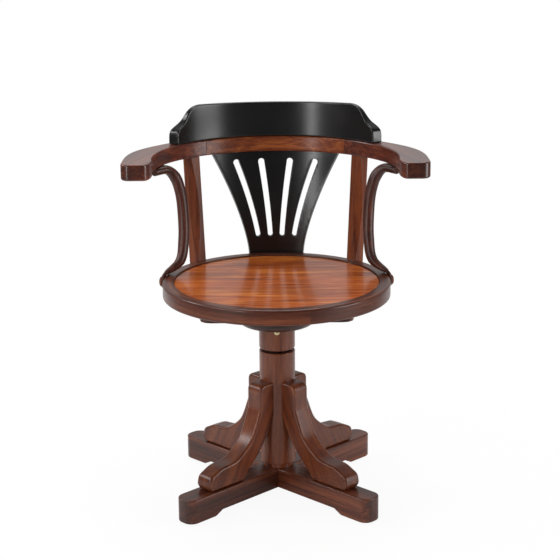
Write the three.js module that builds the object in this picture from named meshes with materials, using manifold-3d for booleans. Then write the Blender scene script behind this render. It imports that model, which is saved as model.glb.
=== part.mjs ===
import * as THREE from "three";
import { mergeVertices } from "three/addons/utils/BufferGeometryUtils.js";
import Module from "manifold-3d";

// Wooden bankers swivel chair. A round seat turns and rises on a screw spindle. A bow of three
// joined pieces makes the back and both arms, with a crest rail on it and a slotted splat under it.
// The base is a column held by four knees to two crossed beams.
// Millimetres, Z up, the front toward -Y. The origin is on the floor, in the middle of the outline.

const wasm = await Module();
wasm.setup();

// Fits
const gap = 0.3; // between two pieces that touch
const overrun = 6; // how far a cutting shape runs past the face it cuts
const weld = 0.0001; // vertices closer than this are one vertex

// Crossed base
const beamLength = 544;
const beamWidth = 49.2;
const beamHeight = 51.3;
const beamEndRadius = 20;
const beamEdgeRound = 2.4;
const footLength = 66.4; // flat sole left at each end of a beam
const reliefSlope = 21; // run of the slope from the sole up to the relief
const reliefDepth = 10.5; // how far the underside is cut away between the soles
const glideRadius = 10;
const glideHeight = 4.5;
const glideRound = 2;
const glideInset = 20.7; // from a beam's end to the middle of its glide

// Column bolt, under the crossing
const boltRadius = 5;
const boltGrip = 58; // how far the bolt reaches into the column
const boltHeadRadius = 9.2;
const boltHeadHeight = 6;
const washerRadius = 14;
const washerThickness = 2;

// Knees
const kneeThickness = 40.5;
const kneeReach = 178; // from the column's face to the tip of the toe
const kneeRise = 191.5;
const kneeEdgeRound = 4.5;
const kneeSink = 8; // how far the blank runs into the column before it is coped to it

// Column
const columnRadius = 37.2;
const columnHeight = 253.7;
const columnEdgeRound = 2.6;
const neckHeight = 9; // turned-in foot of the column
const neckDepth = 6;

// Swivel collar and its nut
const notchHeight = 4.8; // open line between the column and the collar
const collarRadius = 37.2;
const collarHeight = 52.2;
const collarEdgeRound = 3;
const thrustRingRadius = 31;
const nutFlangeRadius = 28;
const nutFlangeThickness = 4;
const nutRadius = 20;
const nutHeight = 28;

// Screw spindle
const spindleRadius = 12.5;
const spindleDrop = 148; // how far it hangs below the hub disc
const spindleChamfer = 2;
const boreClearance = 1.2; // around the spindle, in the column and the collar
const spindlePlateRadius = 45;
const spindlePlateThickness = 4;

// Lock screw, in the front of the collar
const lockScrewHeadRadius = 5.9;
const lockScrewHeadHeight = 3.2;
const lockScrewRadius = 4;
const lockScrewDrop = 9.5; // from the top of the collar to the screw
const lockScrewSlot = 1.3;
const lockScrewRound = 1;

// Under the seat
const hubDiscRadius = 79;
const hubDiscHeight = 21.8;
const hubDiscRound = 11;
const hubDiscTopRound = 1.6;
const bearerLength = 280;
const bearerWidth = 100;
const bearerHeight = 23.2;
const bearerRound = 10;
const battenWidth = 55;
const battenSpacing = 250; // from middle to middle
const battenHang = 16.2; // how far the battens show below the ring
const battenInset = 14; // from the ring's inner face back to a batten's end, along its middle
const battenOuterRound = 22;
const battenInnerRound = 6;
const edgeRound = 1.5; // small softened edges

// Seat
const seatRadius = 234;
const ringThickness = 23;
const ringHeight = 31.3;
const ringRound = 6;
const ringUnderRound = 3;
const ledgeWidth = 8; // rebate inside the ring that carries the panel
const panelThickness = 19.7;
const panelRecess = 3; // how far the panel lies below the top of the ring

// Arm bow
const armRise = 224.4; // from the top of the seat to the underside of the bow
const bowThickness = 33;
const bowOverhang = 14; // the bow's inner curve is this much wider than the seat
const bowSetForward = 12; // the middle of the bow's curve lies ahead of the column
const bowBackWidth = 35;
const armWidth = 58;
const armForward = 76; // from the middle of the bow's curve to the arm's tip
const armTuck = 2.5; // how far the arm's tip turns in past the bow's inner curve
const armTipInnerEase = 48;
const armTipInnerRound = 11;
const armTipOuterEase = 26;
const armTipOuterRound = 12;
const bowEdgeRound = 4;
const bowBlendAngle = 45; // where the back's even width ends, in degrees from its middle
const armLift = 53; // how far behind the middle of the curve the arm keeps its full width
const armSweep = 145; // how broadly the arm runs into the back
const bowJointAngle = 36.3; // butt joint, in degrees from the middle of the back

// Crest rail
const crestThickness = 25; // at its foot
const crestHeight = 74.2; // in the middle
const crestDish = 3.4; // how much higher the top edge is where it ends
const crestTopAngle = 39.5; // where the top edge ends, in degrees from the middle
const crestEndAngle = 55.2;
const crestSpareAngle = 2; // the blank runs this far past its end cuts
const crestEdgeRound = 1.6;
const crestTopRound = 2.8;

// Posts
const postWidth = 23; // along the bow
const postDepth = 27; // from front to back
const postRound = 2.6;
const postNotch = 6.5; // how far the post's face stands inside the ring
const postSeatAngle = 44.3;
const postTopAngle = 42.2;
const postChamferSide = 3.7;
const postChamferEnd = 14; // depth of the long chamfer at both ends
const postChamferMiddle = 3.8;
const tenonRadius = 8;
const tenonLength = 16;

// Splat
const splatThickness = 11;
const splatBlankAngle = 38; // the bent blank reaches this far from the middle on each side
const splatTopHalfWidth = 137;
const splatFootHalfWidth = 59.5;
const splatTongue = 8; // how far the splat is let into the bow
const splatShoulder = 7; // step at each end of that tongue
const slotTopWidth = 13.5;
const slotFootWidth = 10.3;
const slotTopMargin = 17; // from the underside of the bow to the slots
const slotFootMargin = 35; // from the top of the seat to the slots

// Bent arm brackets
const bracketRadius = 10;
const bracketStrapHalf = 3.7; // half thickness of the flat foot
const bracketFootHalf = 13; // half width of the flat foot
const bracketRimGap = 0.8; // clearance where the bar bends over the ring
const bracketFootMargin = 4.5; // from the ring's lower edge to the foot's end
const bracketAngle = 10.2; // the foot's place, in degrees behind the seat's widest line
const bracketBulge = 50; // how far the bar bends in over the seat
const bracketSetBack = 35; // how far it bends back
const bracketTopInset = 3; // from the arm's inner edge to the middle of the bar
const bracketTopBack = 75; // from the middle of the bow's curve back to the bar's end
const bracketTopHalf = 9.5; // half height of the bar where it is flattened under the arm

// Domed bolts through the brackets' feet
const bracketBoltRadius = 4;
const bracketBoltLength = 25; // from under the head to its end in the ring
const bracketBoltHeadRadius = 10.5;
const bracketBoltHeadHeight = 6;
const bracketBoltRim = 1.4; // straight edge under the dome
const bracketBoltDrop = 14; // from the top of the seat to the bolt

// Facets
const roundSteps = 40;
const seatSteps = 64;
const hiddenSteps = 28;
const smallSteps = 20;
const boltSteps = 12;
const hexSides = 6;
const flareSteps = 10;
const slotSteps = 7;
const slotCapSteps = 6;
const splatSteps = 22;
const postStations = 8;
const curveSpan = 24; // longest facet along a curved outline
const curveSteps = 4; // fewest facets on a curved outline

// Shapes as shares of the sizes above, from the column's face out and from the beam up.
const kneeOuterShares = [
  [0.178, 0.93],
  [0.182, 0.75],
  [0.214, 0.648],
  [0.326, 0.43],
  [0.507, 0.288],
  [0.6, 0.25],
  [0.702, 0.238],
  [0.8, 0.228],
  [0.89, 0.195],
  [0.972, 0.15],
  [1, 0.062],
];
const kneeInnerShares = [
  [0.455, 0],
  [0.367, 0.109],
  [0.214, 0.238],
  [0.11, 0.358],
  [0.03, 0.49],
  [-0.02, 0.6],
];
const kneeCrownShare = 0.076;
const kneeCurveSteps = 12;
// The crest's back face: how far up, and thickness as a share of the foot's.
const crestBackShares = [
  [0.39, 0.96],
  [0.58, 0.71],
  [0.76, 0.52],
  [1, 0.36],
];
// The crest's ogee end: how far from the top edge's end to the crest's end, and how far up.
const crestOgeeShares = [
  [0, 1],
  [0.13, 0.984],
  [0.26, 0.945],
  [0.37, 0.88],
  [0.45, 0.8],
  [0.53, 0.71],
  [0.625, 0.62],
  [0.75, 0.545],
  [0.87, 0.48],
  [0.96, 0.39],
  [1, 0.27],
];
// Each slot's middle, as a share of the splat's half width, at its foot and at its top.
const slotShares = [
  [0.195, 0.25],
  [0.602, 0.684],
];
const splatFlareShare = 1.4; // power of the splat's flare
// The bent bar: rise, bulge, set back, and half thickness and half width as shares of its radius.
const bracketShares = [
  [0.113, 0.77, 0.38, 0.86, 1.1],
  [0.293, 0.86, 0.67, 1, 1],
  [0.505, 0.98, 0.89, 1, 1],
  [0.734, 0.965, 0.87, 1.05, 1],
  [0.887, 0.8, 0.72, 1.12, 1.05],
];
// The flat foot: how far above its end and half width, as shares of the foot's half width.
const bracketFootShares = [
  [0, 0.5],
  [0.25, 0.86],
  [0.6, 1],
];
const bracketRimShare = 0.95; // half width where it bends over the ring, of the foot's half width
const bracketUnderShares = [0.52, 0.55]; // bulge and set back where the bar turns under the arm
const bracketTopShare = 1.1; // half width under the arm, of the bar's radius
const bracketSquareShare = 0.62; // how soon a wide section turns from round to square
const bracketSteps = 27;
const bracketSides = 10;
const crestSteps = 24;
const ogeeSteps = 11;

// Levels above the floor
const beamTop = glideHeight + beamHeight;
const columnTop = beamTop + columnHeight;
const collarFoot = columnTop + notchHeight;
const collarTop = collarFoot + collarHeight;
const hubDiscTop = collarTop + hubDiscHeight;
const bearerTop = hubDiscTop + bearerHeight;
const ringFoot = bearerTop + battenHang;
const seatTop = ringFoot + ringHeight;
const panelTop = seatTop - panelRecess;
const panelFoot = panelTop - panelThickness;
const bowFoot = seatTop + armRise;
const bowTop = bowFoot + bowThickness;
const ringInnerRadius = seatRadius - ringThickness;
const bowInnerRadius = seatRadius + bowOverhang;
const bowMiddleRadius = bowInnerRadius + bowBackWidth / 2;

const wood = (color, roughness) => new THREE.MeshStandardMaterial({ color, roughness, metalness: 0 });
const metal = (color, roughness) => new THREE.MeshStandardMaterial({ color, roughness, metalness: 1 });
const walnut = () => wood(0x5a3426, 0.32);
const redWalnut = () => wood(0x7a4128, 0.32);
const honey = () => wood(0xa9683a, 0.25);
const black = () => wood(0x1d1c1d, 0.38);
const steel = () => metal(0x8d9095, 0.35);
const brass = () => metal(0xb8924a, 0.3);
const felt = () => wood(0x2a2826, 0.9);

// A closed geometry as a solid that can be joined and cut.
function solidOf(geometry) {
  const bare = new THREE.BufferGeometry();
  bare.setAttribute("position", geometry.getAttribute("position"));
  bare.setIndex(geometry.index);
  const merged = mergeVertices(bare, weld);
  const corners = Array.from(merged.index.array);
  const kept = [];
  for (let i = 0; i < corners.length; i += 3) {
    const [a, b, c] = corners.slice(i, i + 3);
    if (a !== b && b !== c && c !== a) {
      kept.push(a, b, c);
    }
  }
  const vertProperties = new Float32Array(merged.getAttribute("position").array);
  const build = (list) =>
    new wasm.Manifold(new wasm.Mesh({ numProp: 3, vertProperties, triVerts: new Uint32Array(list) }));
  const solid = build(kept);
  return solid.volume() < 0 ? build(kept.reverse()) : solid;
}

// A solid as one named mesh with its own material.
function piece(name, solid, finish) {
  const { vertProperties, triVerts } = solid.getMesh();
  const geometry = new THREE.BufferGeometry();
  geometry.setAttribute("position", new THREE.BufferAttribute(vertProperties, 3));
  geometry.setIndex(new THREE.BufferAttribute(triVerts, 1));
  geometry.computeVertexNormals();
  const mesh = new THREE.Mesh(geometry, finish());
  mesh.name = name;
  return mesh;
}

// Facets on a rounded edge: a small softened edge is one flat.
const stepsFor = (radius) => (radius > postRound ? 3 : radius > edgeRound ? 2 : 1);

// An outline whose corners are [across, up, radius].
function rounded(corners) {
  const points = [];
  corners.forEach(([x, y, radius], i) => {
    const corner = new THREE.Vector2(x, y);
    if (!radius) {
      points.push(corner);
      return;
    }
    const [x0, y0] = corners.at(i - 1);
    const [x1, y1] = corners[(i + 1) % corners.length];
    const back = new THREE.Vector2(x0 - x, y0 - y).normalize();
    const on = new THREE.Vector2(x1 - x, y1 - y).normalize();
    const half = Math.acos(THREE.MathUtils.clamp(back.dot(on), -1, 1)) / 2;
    const centre = corner.clone().add(back.clone().add(on).setLength(radius / Math.sin(half)));
    const start = back.clone().multiplyScalar(radius / Math.tan(half)).add(corner).sub(centre);
    const turn = Math.sign(on.cross(back)) * (Math.PI - 2 * half);
    const steps = stepsFor(radius);
    for (let k = 0; k <= steps; k += 1) {
      points.push(start.clone().rotateAround(new THREE.Vector2(), (turn * k) / steps).add(centre));
    }
  });
  return points;
}

// A turned solid about Z. The outline is in radius and height, and may touch the axis.
function turned(outline, steps) {
  const open = outline[0].x === 0;
  const points = open ? outline : [...outline, outline[0]];
  return solidOf(new THREE.LatheGeometry(points, steps).rotateX(Math.PI / 2));
}

// A turned rod or disc, with its lower and upper edges rounded.
function disc(radius, foot, top, footRound, topRound, steps) {
  return turned(
    rounded([
      [0, foot, 0],
      [radius, foot, footRound],
      [radius, top, topRound],
      [0, top, 0],
    ]),
    steps
  );
}

// A turned ring or tube, with its four edges rounded alike.
function tube(inner, outer, foot, top, round, steps) {
  return turned(
    rounded([
      [inner, foot, round],
      [outer, foot, round],
      [outer, top, round],
      [inner, top, round],
    ]),
    steps
  );
}

// A plate with a plan outline, from one level to another, its edges rounded.
function plate(outline, foot, top, round) {
  const geometry = new THREE.ExtrudeGeometry(new THREE.Shape(outline), {
    depth: top - foot - 2 * round,
    bevelEnabled: round > 0,
    bevelThickness: round,
    bevelSize: round,
    bevelOffset: -round,
    bevelSegments: Math.min(2, stepsFor(round)),
  });
  return solidOf(geometry.translate(0, 0, foot + round));
}

// A solid with a front outline in X and Z, from one depth to another, its edges rounded.
function board(outline, front, back, round, holes = []) {
  const shape = new THREE.Shape(outline);
  shape.holes.push(...holes.map((points) => new THREE.Path(points)));
  const geometry = new THREE.ExtrudeGeometry(shape, {
    depth: back - front - 2 * round,
    bevelEnabled: round > 0,
    bevelThickness: round,
    bevelSize: round,
    bevelOffset: -round,
    bevelSegments: Math.min(2, stepsFor(round)),
  });
  return solidOf(geometry.rotateX(Math.PI / 2).translate(0, back - round, 0));
}

// A closed skin through a row of sections, each a loop of as many points.
function loft(sections) {
  const count = sections[0].length;
  const last = (sections.length - 1) * count;
  const index = [];
  for (let s = 0; s < last; s += count) {
    for (let i = 0; i < count; i += 1) {
      const next = (i + 1) % count;
      index.push(s + i, s + next, s + next + count, s + i, s + next + count, s + i + count);
    }
  }
  for (let i = 1; i + 1 < count; i += 1) {
    index.push(0, i + 1, i, last, last + i, last + i + 1);
  }
  const geometry = new THREE.BufferGeometry().setFromPoints(sections.flat());
  geometry.setIndex(index);
  return solidOf(geometry);
}

// The same solid on the other side of the chair.
function mirrored(solid) {
  return solid.mirror([1, 0, 0]);
}

// A place in plan, from a radius and an angle in degrees out from the middle of the back.
function around(radius, angle) {
  const turn = THREE.MathUtils.degToRad(angle);
  return new THREE.Vector2(radius * Math.sin(turn), radius * Math.cos(turn));
}

// A path as points, its curves in facets of about one length and its lines left whole.
function traced(path) {
  const points = [];
  for (const curve of path.curves) {
    const straight = curve instanceof THREE.LineCurve;
    const steps = straight ? 1 : Math.max(curveSteps, Math.ceil(curve.getLength() / curveSpan));
    for (const point of curve.getPoints(steps)) {
      if (!points.length || point.distanceTo(points.at(-1)) > weld) {
        points.push(point);
      }
    }
  }
  return points;
}

const rect = (left, right, foot, top) => [
  new THREE.Vector2(left, foot),
  new THREE.Vector2(right, foot),
  new THREE.Vector2(right, top),
  new THREE.Vector2(left, top),
];

const chair = new THREE.Group();
const base = new THREE.Group();
const collarGroup = new THREE.Group();
const seat = new THREE.Group();
chair.add(base, collarGroup, seat);

// Crossed beams, half lapped where they cross
const beamHalf = beamLength / 2;
const lapLevel = (reliefDepth + beamHeight) / 2;

function beam(lapFromTop) {
  const corners = [
    [-beamHalf, -beamWidth / 2, beamEndRadius],
    [beamHalf, -beamWidth / 2, beamEndRadius],
    [beamHalf, beamWidth / 2, beamEndRadius],
    [-beamHalf, beamWidth / 2, beamEndRadius],
  ];
  const blank = plate(rounded(corners), 0, beamHeight, beamEdgeRound);
  const sole = beamHalf - footLength;
  const slope = sole - reliefSlope;
  const reliefOutline = [
    [-sole, -overrun],
    [sole, -overrun],
    [sole, 0],
    [slope, reliefDepth],
    [-slope, reliefDepth],
    [-sole, 0],
  ].map(([x, z]) => new THREE.Vector2(x, z));
  const relief = board(reliefOutline, -beamWidth / 2 - overrun, beamWidth / 2 + overrun, 0);
  const lapHalf = beamWidth / 2 + gap;
  const lapFoot = lapFromTop ? lapLevel - gap / 2 : -overrun;
  const lapTop = lapFromTop ? beamHeight + overrun : lapLevel + gap / 2;
  const lap = board(rect(-lapHalf, lapHalf, lapFoot, lapTop), -lapHalf - overrun, lapHalf + overrun, 0);
  const boltHole = disc(boltRadius + gap, -overrun, beamHeight + overrun, 0, 0, smallSteps);
  return blank.subtract(relief).subtract(lap).subtract(boltHole);
}

const beamAngles = [Math.PI / 4, -Math.PI / 4];
["beam_lower", "beam_upper"].forEach((name, i) => {
  const mesh = piece(name, beam(i === 0), walnut);
  mesh.rotation.z = beamAngles[i];
  mesh.position.z = glideHeight;
  base.add(mesh);
});

// One leg of the base for each quarter: a knee and a glide
const legs = ["front_right", "back_right", "back_left", "front_left"];

function knee() {
  const point = ([out, up]) => new THREE.Vector2(columnRadius + kneeReach * out, kneeRise * up);
  const curve = (shares) => new THREE.SplineCurve(shares.map(point)).getPoints(kneeCurveSteps);
  const innerTop = new THREE.Vector2(columnRadius - kneeSink, kneeRise);
  const crown = new THREE.QuadraticBezierCurve(
    point([kneeCrownShare, 1]),
    point([kneeOuterShares[0][0], 1]),
    point(kneeOuterShares[0])
  ).getPoints(curveSteps);
  const inner = curve(kneeInnerShares);
  const innerFoot = new THREE.Vector2(columnRadius - kneeSink, inner.at(-1).y);
  const toe = point([1, 0]);
  const outline = [innerTop, ...crown, ...curve(kneeOuterShares).slice(1), toe, ...inner, innerFoot];
  const half = kneeThickness / 2;
  const cope = disc(columnRadius + gap, -overrun, kneeRise + overrun, 0, 0, roundSteps);
  return board(outline.reverse(), -half, half, kneeEdgeRound).subtract(cope);
}

function glide() {
  return disc(glideRadius, 0, glideHeight - gap, glideRound, 0, smallSteps);
}

legs.forEach((leg, i) => {
  const quarter = new THREE.Group();
  quarter.rotation.z = (i * Math.PI) / 2 - Math.PI / 4;
  const kneeMesh = piece(`knee_${leg}`, knee(), redWalnut);
  kneeMesh.position.z = beamTop + gap;
  const glideMesh = piece(`glide_${leg}`, glide(), felt);
  glideMesh.position.x = beamHalf - glideInset;
  quarter.add(kneeMesh, glideMesh);
  base.add(quarter);
});

// Column, bored for the spindle and for the bolt that holds it to the crossing
const spindleFoot = collarTop - spindleDrop;
const boreRadius = spindleRadius + boreClearance;
const boreFoot = spindleFoot - overrun;

function column() {
  const foot = beamTop + gap;
  const neck = columnRadius - neckDepth;
  const outline = [
    [0, foot, 0],
    [neck, foot, 0],
    [neck, foot + neckHeight, 0],
    [columnRadius, foot + neckHeight, columnEdgeRound],
    [columnRadius, columnTop, columnEdgeRound],
    [0, columnTop, 0],
  ];
  const blank = turned(rounded(outline), roundSteps);
  const bore = disc(boreRadius, boreFoot, columnTop + overrun, 0, 0, smallSteps);
  const boltHole = disc(boltRadius + gap, beamTop - overrun, beamTop + boltGrip + gap, 0, 0, smallSteps);
  return blank.subtract(bore).subtract(boltHole);
}

const washerTop = glideHeight + reliefDepth - gap;
const washerFoot = washerTop - washerThickness;
const boltHeadTop = washerFoot - gap;
const washerHole = boltRadius + gap;

function columnBolt() {
  const head = disc(boltHeadRadius, boltHeadTop - boltHeadHeight, boltHeadTop, 0, 0, hexSides);
  return head.add(disc(boltRadius, boltHeadTop - weld, beamTop + boltGrip, 0, edgeRound, smallSteps));
}

const washer = tube(washerHole, washerRadius, washerFoot, washerTop, 0, smallSteps);
const thrustRing = tube(boreRadius, thrustRingRadius, columnTop + gap, collarFoot - gap, 0, hiddenSteps);
base.add(
  piece("column", column(), walnut),
  piece("column_bolt", columnBolt(), steel),
  piece("bolt_washer", washer, steel),
  piece("thrust_ring", thrustRing, steel)
);

// Collar, with its nut let in from below and the lock screw through its front
const lockScrewLevel = collarTop - lockScrewDrop;

// A rod from one depth to another at the level of the lock screw.
function frontRod(radius, front, back, round) {
  const mesh = new THREE.LatheGeometry(
    rounded([
      [0, 0, 0],
      [radius, 0, round],
      [radius, back - front, 0],
      [0, back - front, 0],
    ]),
    smallSteps
  );
  return solidOf(mesh.translate(0, front, lockScrewLevel));
}

function collar() {
  const blank = disc(collarRadius, collarFoot, collarTop - gap, collarEdgeRound, edgeRound, roundSteps);
  const bore = disc(boreRadius, collarFoot, collarTop + overrun, 0, 0, smallSteps);
  const below = collarFoot - overrun;
  const flangeTop = collarFoot + nutFlangeThickness + gap;
  const flangeSeat = disc(nutFlangeRadius + gap, below, flangeTop, 0, 0, smallSteps);
  const nutSeat = disc(nutRadius + gap, below, collarFoot + nutHeight + gap, 0, 0, smallSteps);
  const screwHole = frontRod(lockScrewRadius + gap, -collarRadius - overrun, 0, 0);
  return blank.subtract(bore).subtract(flangeSeat).subtract(nutSeat).subtract(screwHole);
}

function nut() {
  const inner = spindleRadius + gap;
  const bush = tube(inner, nutRadius, collarFoot, collarFoot + nutHeight, 0, smallSteps);
  return bush.add(tube(inner, nutFlangeRadius, collarFoot, collarFoot + nutFlangeThickness, 0, smallSteps));
}

function lockScrew() {
  const headBack = -collarRadius - gap;
  const headFront = headBack - lockScrewHeadHeight;
  const head = frontRod(lockScrewHeadRadius, headFront, headBack, lockScrewRound);
  const shank = frontRod(lockScrewRadius, headFront + lockScrewRound, -spindleRadius - gap, 0);
  const half = lockScrewSlot / 2;
  const reach = lockScrewHeadRadius + overrun;
  const level = rect(-reach, reach, lockScrewLevel - half, lockScrewLevel + half);
  const slot = board(level, headFront - overrun, headFront + lockScrewSlot, 0);
  return head.add(shank).subtract(slot);
}

const lockScrewMesh = piece("lock_screw", lockScrew(), brass);
collarGroup.add(piece("collar", collar(), walnut), piece("spindle_nut", nut(), steel), lockScrewMesh);

// Spindle and the parts that carry the seat
const spindleHole = spindleRadius + gap;
const spindlePlateFoot = bearerTop + gap;
const spindlePlateTop = spindlePlateFoot + spindlePlateThickness;

function bored(solid, foot, top) {
  return solid.subtract(disc(spindleHole, foot - overrun, top + overrun, 0, 0, smallSteps));
}

function bearer() {
  const corners = [
    [-bearerLength / 2, -bearerWidth / 2, bearerRound],
    [bearerLength / 2, -bearerWidth / 2, bearerRound],
    [bearerLength / 2, bearerWidth / 2, bearerRound],
    [-bearerLength / 2, bearerWidth / 2, bearerRound],
  ];
  return bored(plate(rounded(corners), hubDiscTop + gap, bearerTop, edgeRound), hubDiscTop, bearerTop);
}

function batten() {
  const middle = battenSpacing / 2;
  const half = battenWidth / 2;
  const reach = Math.sqrt(ringInnerRadius ** 2 - middle ** 2) - battenInset;
  const corners = [
    [middle - half, -reach, battenInnerRound],
    [middle + half, -reach, battenOuterRound],
    [middle + half, reach, battenOuterRound],
    [middle - half, reach, battenInnerRound],
  ];
  const bar = plate(rounded(corners), bearerTop + gap, panelFoot - gap, 0);
  const ledgeRadius = ringInnerRadius - ledgeWidth - gap;
  return bar.subtract(tube(ledgeRadius, seatRadius, ringFoot - gap, panelFoot + overrun, 0, seatSteps));
}

function hubDisc() {
  const blank = disc(hubDiscRadius, collarTop, hubDiscTop, hubDiscRound, hubDiscTopRound, roundSteps);
  return bored(blank, collarTop, hubDiscTop);
}

const plateBlank = disc(spindlePlateRadius, spindlePlateFoot, spindlePlateTop, 0, 0, hiddenSteps);
seat.add(
  piece("spindle", disc(spindleRadius, spindleFoot, spindlePlateTop, spindleChamfer, 0, smallSteps), steel),
  piece("spindle_plate", bored(plateBlank, spindlePlateFoot, spindlePlateTop), steel),
  piece("hub_disc", hubDisc(), walnut),
  piece("cross_bearer", bearer(), walnut),
  piece("batten_right", batten(), walnut),
  piece("batten_left", mirrored(batten()), walnut)
);

// Seat ring with its rebate, and the panel in it
const ringOutline = rounded([
  [ringInnerRadius, seatTop, edgeRound],
  [ringInnerRadius, panelFoot - gap, 0],
  [ringInnerRadius - ledgeWidth, panelFoot - gap, 0],
  [ringInnerRadius - ledgeWidth, ringFoot, edgeRound],
  [seatRadius, ringFoot, ringUnderRound],
  [seatRadius, seatTop, ringRound],
]);
const panelRadius = ringInnerRadius - gap;
const bracketTurn = 90 - bracketAngle;

// A bracket's domed bolt, or with a clearance the hole for it.
function bracketBolt(clearance) {
  const under = seatRadius + gap + bracketStrapHalf * 2 + gap;
  const radius = bracketBoltRadius + clearance;
  const end = under - bracketBoltLength - clearance;
  const rim = under + bracketBoltRim;
  const shank = rect(0, radius, end, under).slice(0, 3);
  const outline = [...shank, new THREE.Vector2(bracketBoltHeadRadius, under)];
  for (let k = 0; k <= curveSteps; k += 1) {
    const turn = (Math.PI / 2) * (k / curveSteps);
    const rise = (bracketBoltHeadHeight - bracketBoltRim) * Math.sin(turn);
    outline.push(new THREE.Vector2(bracketBoltHeadRadius * Math.cos(turn), rim + rise));
  }
  outline.at(-1).x = 0;
  const rod = new THREE.LatheGeometry(outline, boltSteps).translate(0, 0, seatTop - bracketBoltDrop);
  return solidOf(rod.rotateZ(-THREE.MathUtils.degToRad(bracketTurn)));
}

function seatRing() {
  const hole = bracketBolt(gap);
  return turned(ringOutline, seatSteps).subtract(hole).subtract(mirrored(hole));
}

seat.add(
  piece("seat_ring", seatRing(), walnut),
  piece("seat_panel", disc(panelRadius, panelFoot, panelTop, 0, edgeRound, seatSteps), honey)
);

// The bow in plan, about the middle of its curve, cut into a back piece and two arms
const armOuter = bowInnerRadius + armWidth;

function bowOutline() {
  const backRadius = bowInnerRadius + bowBackWidth;
  const blend = around(backRadius, bowBlendAngle);
  const path = new THREE.Path();
  path.absarc(0, 0, bowInnerRadius, Math.PI / 2, 0, true);
  const innerEdge = bowInnerRadius - armTuck;
  path.lineTo(innerEdge, armTipInnerEase - armForward);
  path.quadraticCurveTo(innerEdge, -armForward, innerEdge + armTipInnerRound, -armForward);
  path.lineTo(armOuter - armTipOuterRound, -armForward);
  path.quadraticCurveTo(armOuter, -armForward, armOuter, armTipOuterEase - armForward);
  const reach = blend.clone().add(around(armSweep, bowBlendAngle + 90));
  path.bezierCurveTo(armOuter, armLift, reach.x, reach.y, blend.x, blend.y);
  path.absarc(0, 0, backRadius, THREE.MathUtils.degToRad(90 - bowBlendAngle), Math.PI / 2, false);
  const right = traced(path);
  const left = right.slice(1, -1).map((p) => new THREE.Vector2(-p.x, p.y)).reverse();
  return [...right, ...left].reverse();
}

// The half of space that holds the right arm, from a little to one side of the butt joint.
function armSide(offset) {
  const wide = armOuter * 2;
  const space = plate(rect(offset, wide, -wide, wide), bowFoot - overrun, bowTop + overrun, 0);
  return space.rotate([0, 0, -bowJointAngle]).translate([0, -bowSetForward, 0]);
}

// Posts from the ring's back edge up into the bow
const postMiddle = seatRadius - postNotch + postDepth / 2;
const postSeat = around(postMiddle, postSeatAngle);
const postTop = around(bowMiddleRadius, postTopAngle).add(new THREE.Vector2(0, -bowSetForward));

function post() {
  const foot = ringFoot + edgeRound;
  const top = bowFoot - gap;
  const sections = [];
  for (let i = 0; i <= postStations; i += 1) {
    const level = THREE.MathUtils.lerp(foot, top, i / postStations);
    const climb = (level - seatTop) / (bowFoot - seatTop);
    const middle = postSeat.clone().lerp(postTop, climb);
    const angle = THREE.MathUtils.lerp(postSeatAngle, postTopAngle, climb);
    const out = around(1, angle);
    const side = around(1, angle + 90);
    const ends = (1 - Math.sin(Math.PI * THREE.MathUtils.clamp(climb, 0, 1))) ** 2;
    const cut = THREE.MathUtils.lerp(postChamferMiddle, postChamferEnd, ends);
    const halfDepth = postDepth / 2;
    const halfWidth = postWidth / 2;
    const corners = [
      [-halfDepth, -halfWidth, postRound],
      [-halfDepth, halfWidth, postRound],
      [halfDepth - cut, halfWidth, 0],
      [halfDepth, halfWidth - postChamferSide, 0],
      [halfDepth, -halfWidth, postRound],
    ];
    const place = (p) => out.clone().multiplyScalar(p.x).add(side.clone().multiplyScalar(p.y)).add(middle);
    sections.push(rounded(corners).map(place).map((p) => new THREE.Vector3(p.x, p.y, level)));
  }
  const ringSpace = disc(seatRadius + gap, ringFoot - overrun, seatTop + gap, 0, 0, seatSteps);
  return loft(sections).subtract(ringSpace).add(tenon(0));
}

// The post's tenon, or with a clearance the mortise for it.
function tenon(clearance) {
  const top = bowFoot + tenonLength + clearance;
  const rod = disc(tenonRadius + clearance, bowFoot - tenonRadius, top, 0, 0, smallSteps);
  return rod.translate([postTop.x, postTop.y, 0]);
}

// Splat: a bent panel that leans back, from behind the ring up into the bow
const splatLevels = [ringFoot + edgeRound, bowFoot + splatTongue];
const splatRadii = [seatRadius + gap + splatThickness / 2, bowMiddleRadius];

function splatSlab(clearance) {
  const half = splatThickness / 2 + clearance;
  const top = splatLevels[1] + clearance;
  const sections = [];
  for (let i = 0; i <= splatSteps; i += 1) {
    const angle = THREE.MathUtils.lerp(-splatBlankAngle, splatBlankAngle, i / splatSteps);
    const corner = (end, side) => {
      const p = around(splatRadii[end] + side * half, angle);
      return new THREE.Vector3(p.x, p.y - end * bowSetForward, end ? top : splatLevels[0]);
    };
    sections.push([corner(0, -1), corner(0, 1), corner(1, 1), corner(1, -1)]);
  }
  return loft(sections);
}

function splatHalfWidth(level) {
  const climb = THREE.MathUtils.clamp((level - seatTop) / armRise, 0, 1);
  return THREE.MathUtils.lerp(splatFootHalfWidth, splatTopHalfWidth, climb ** splatFlareShare);
}

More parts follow.
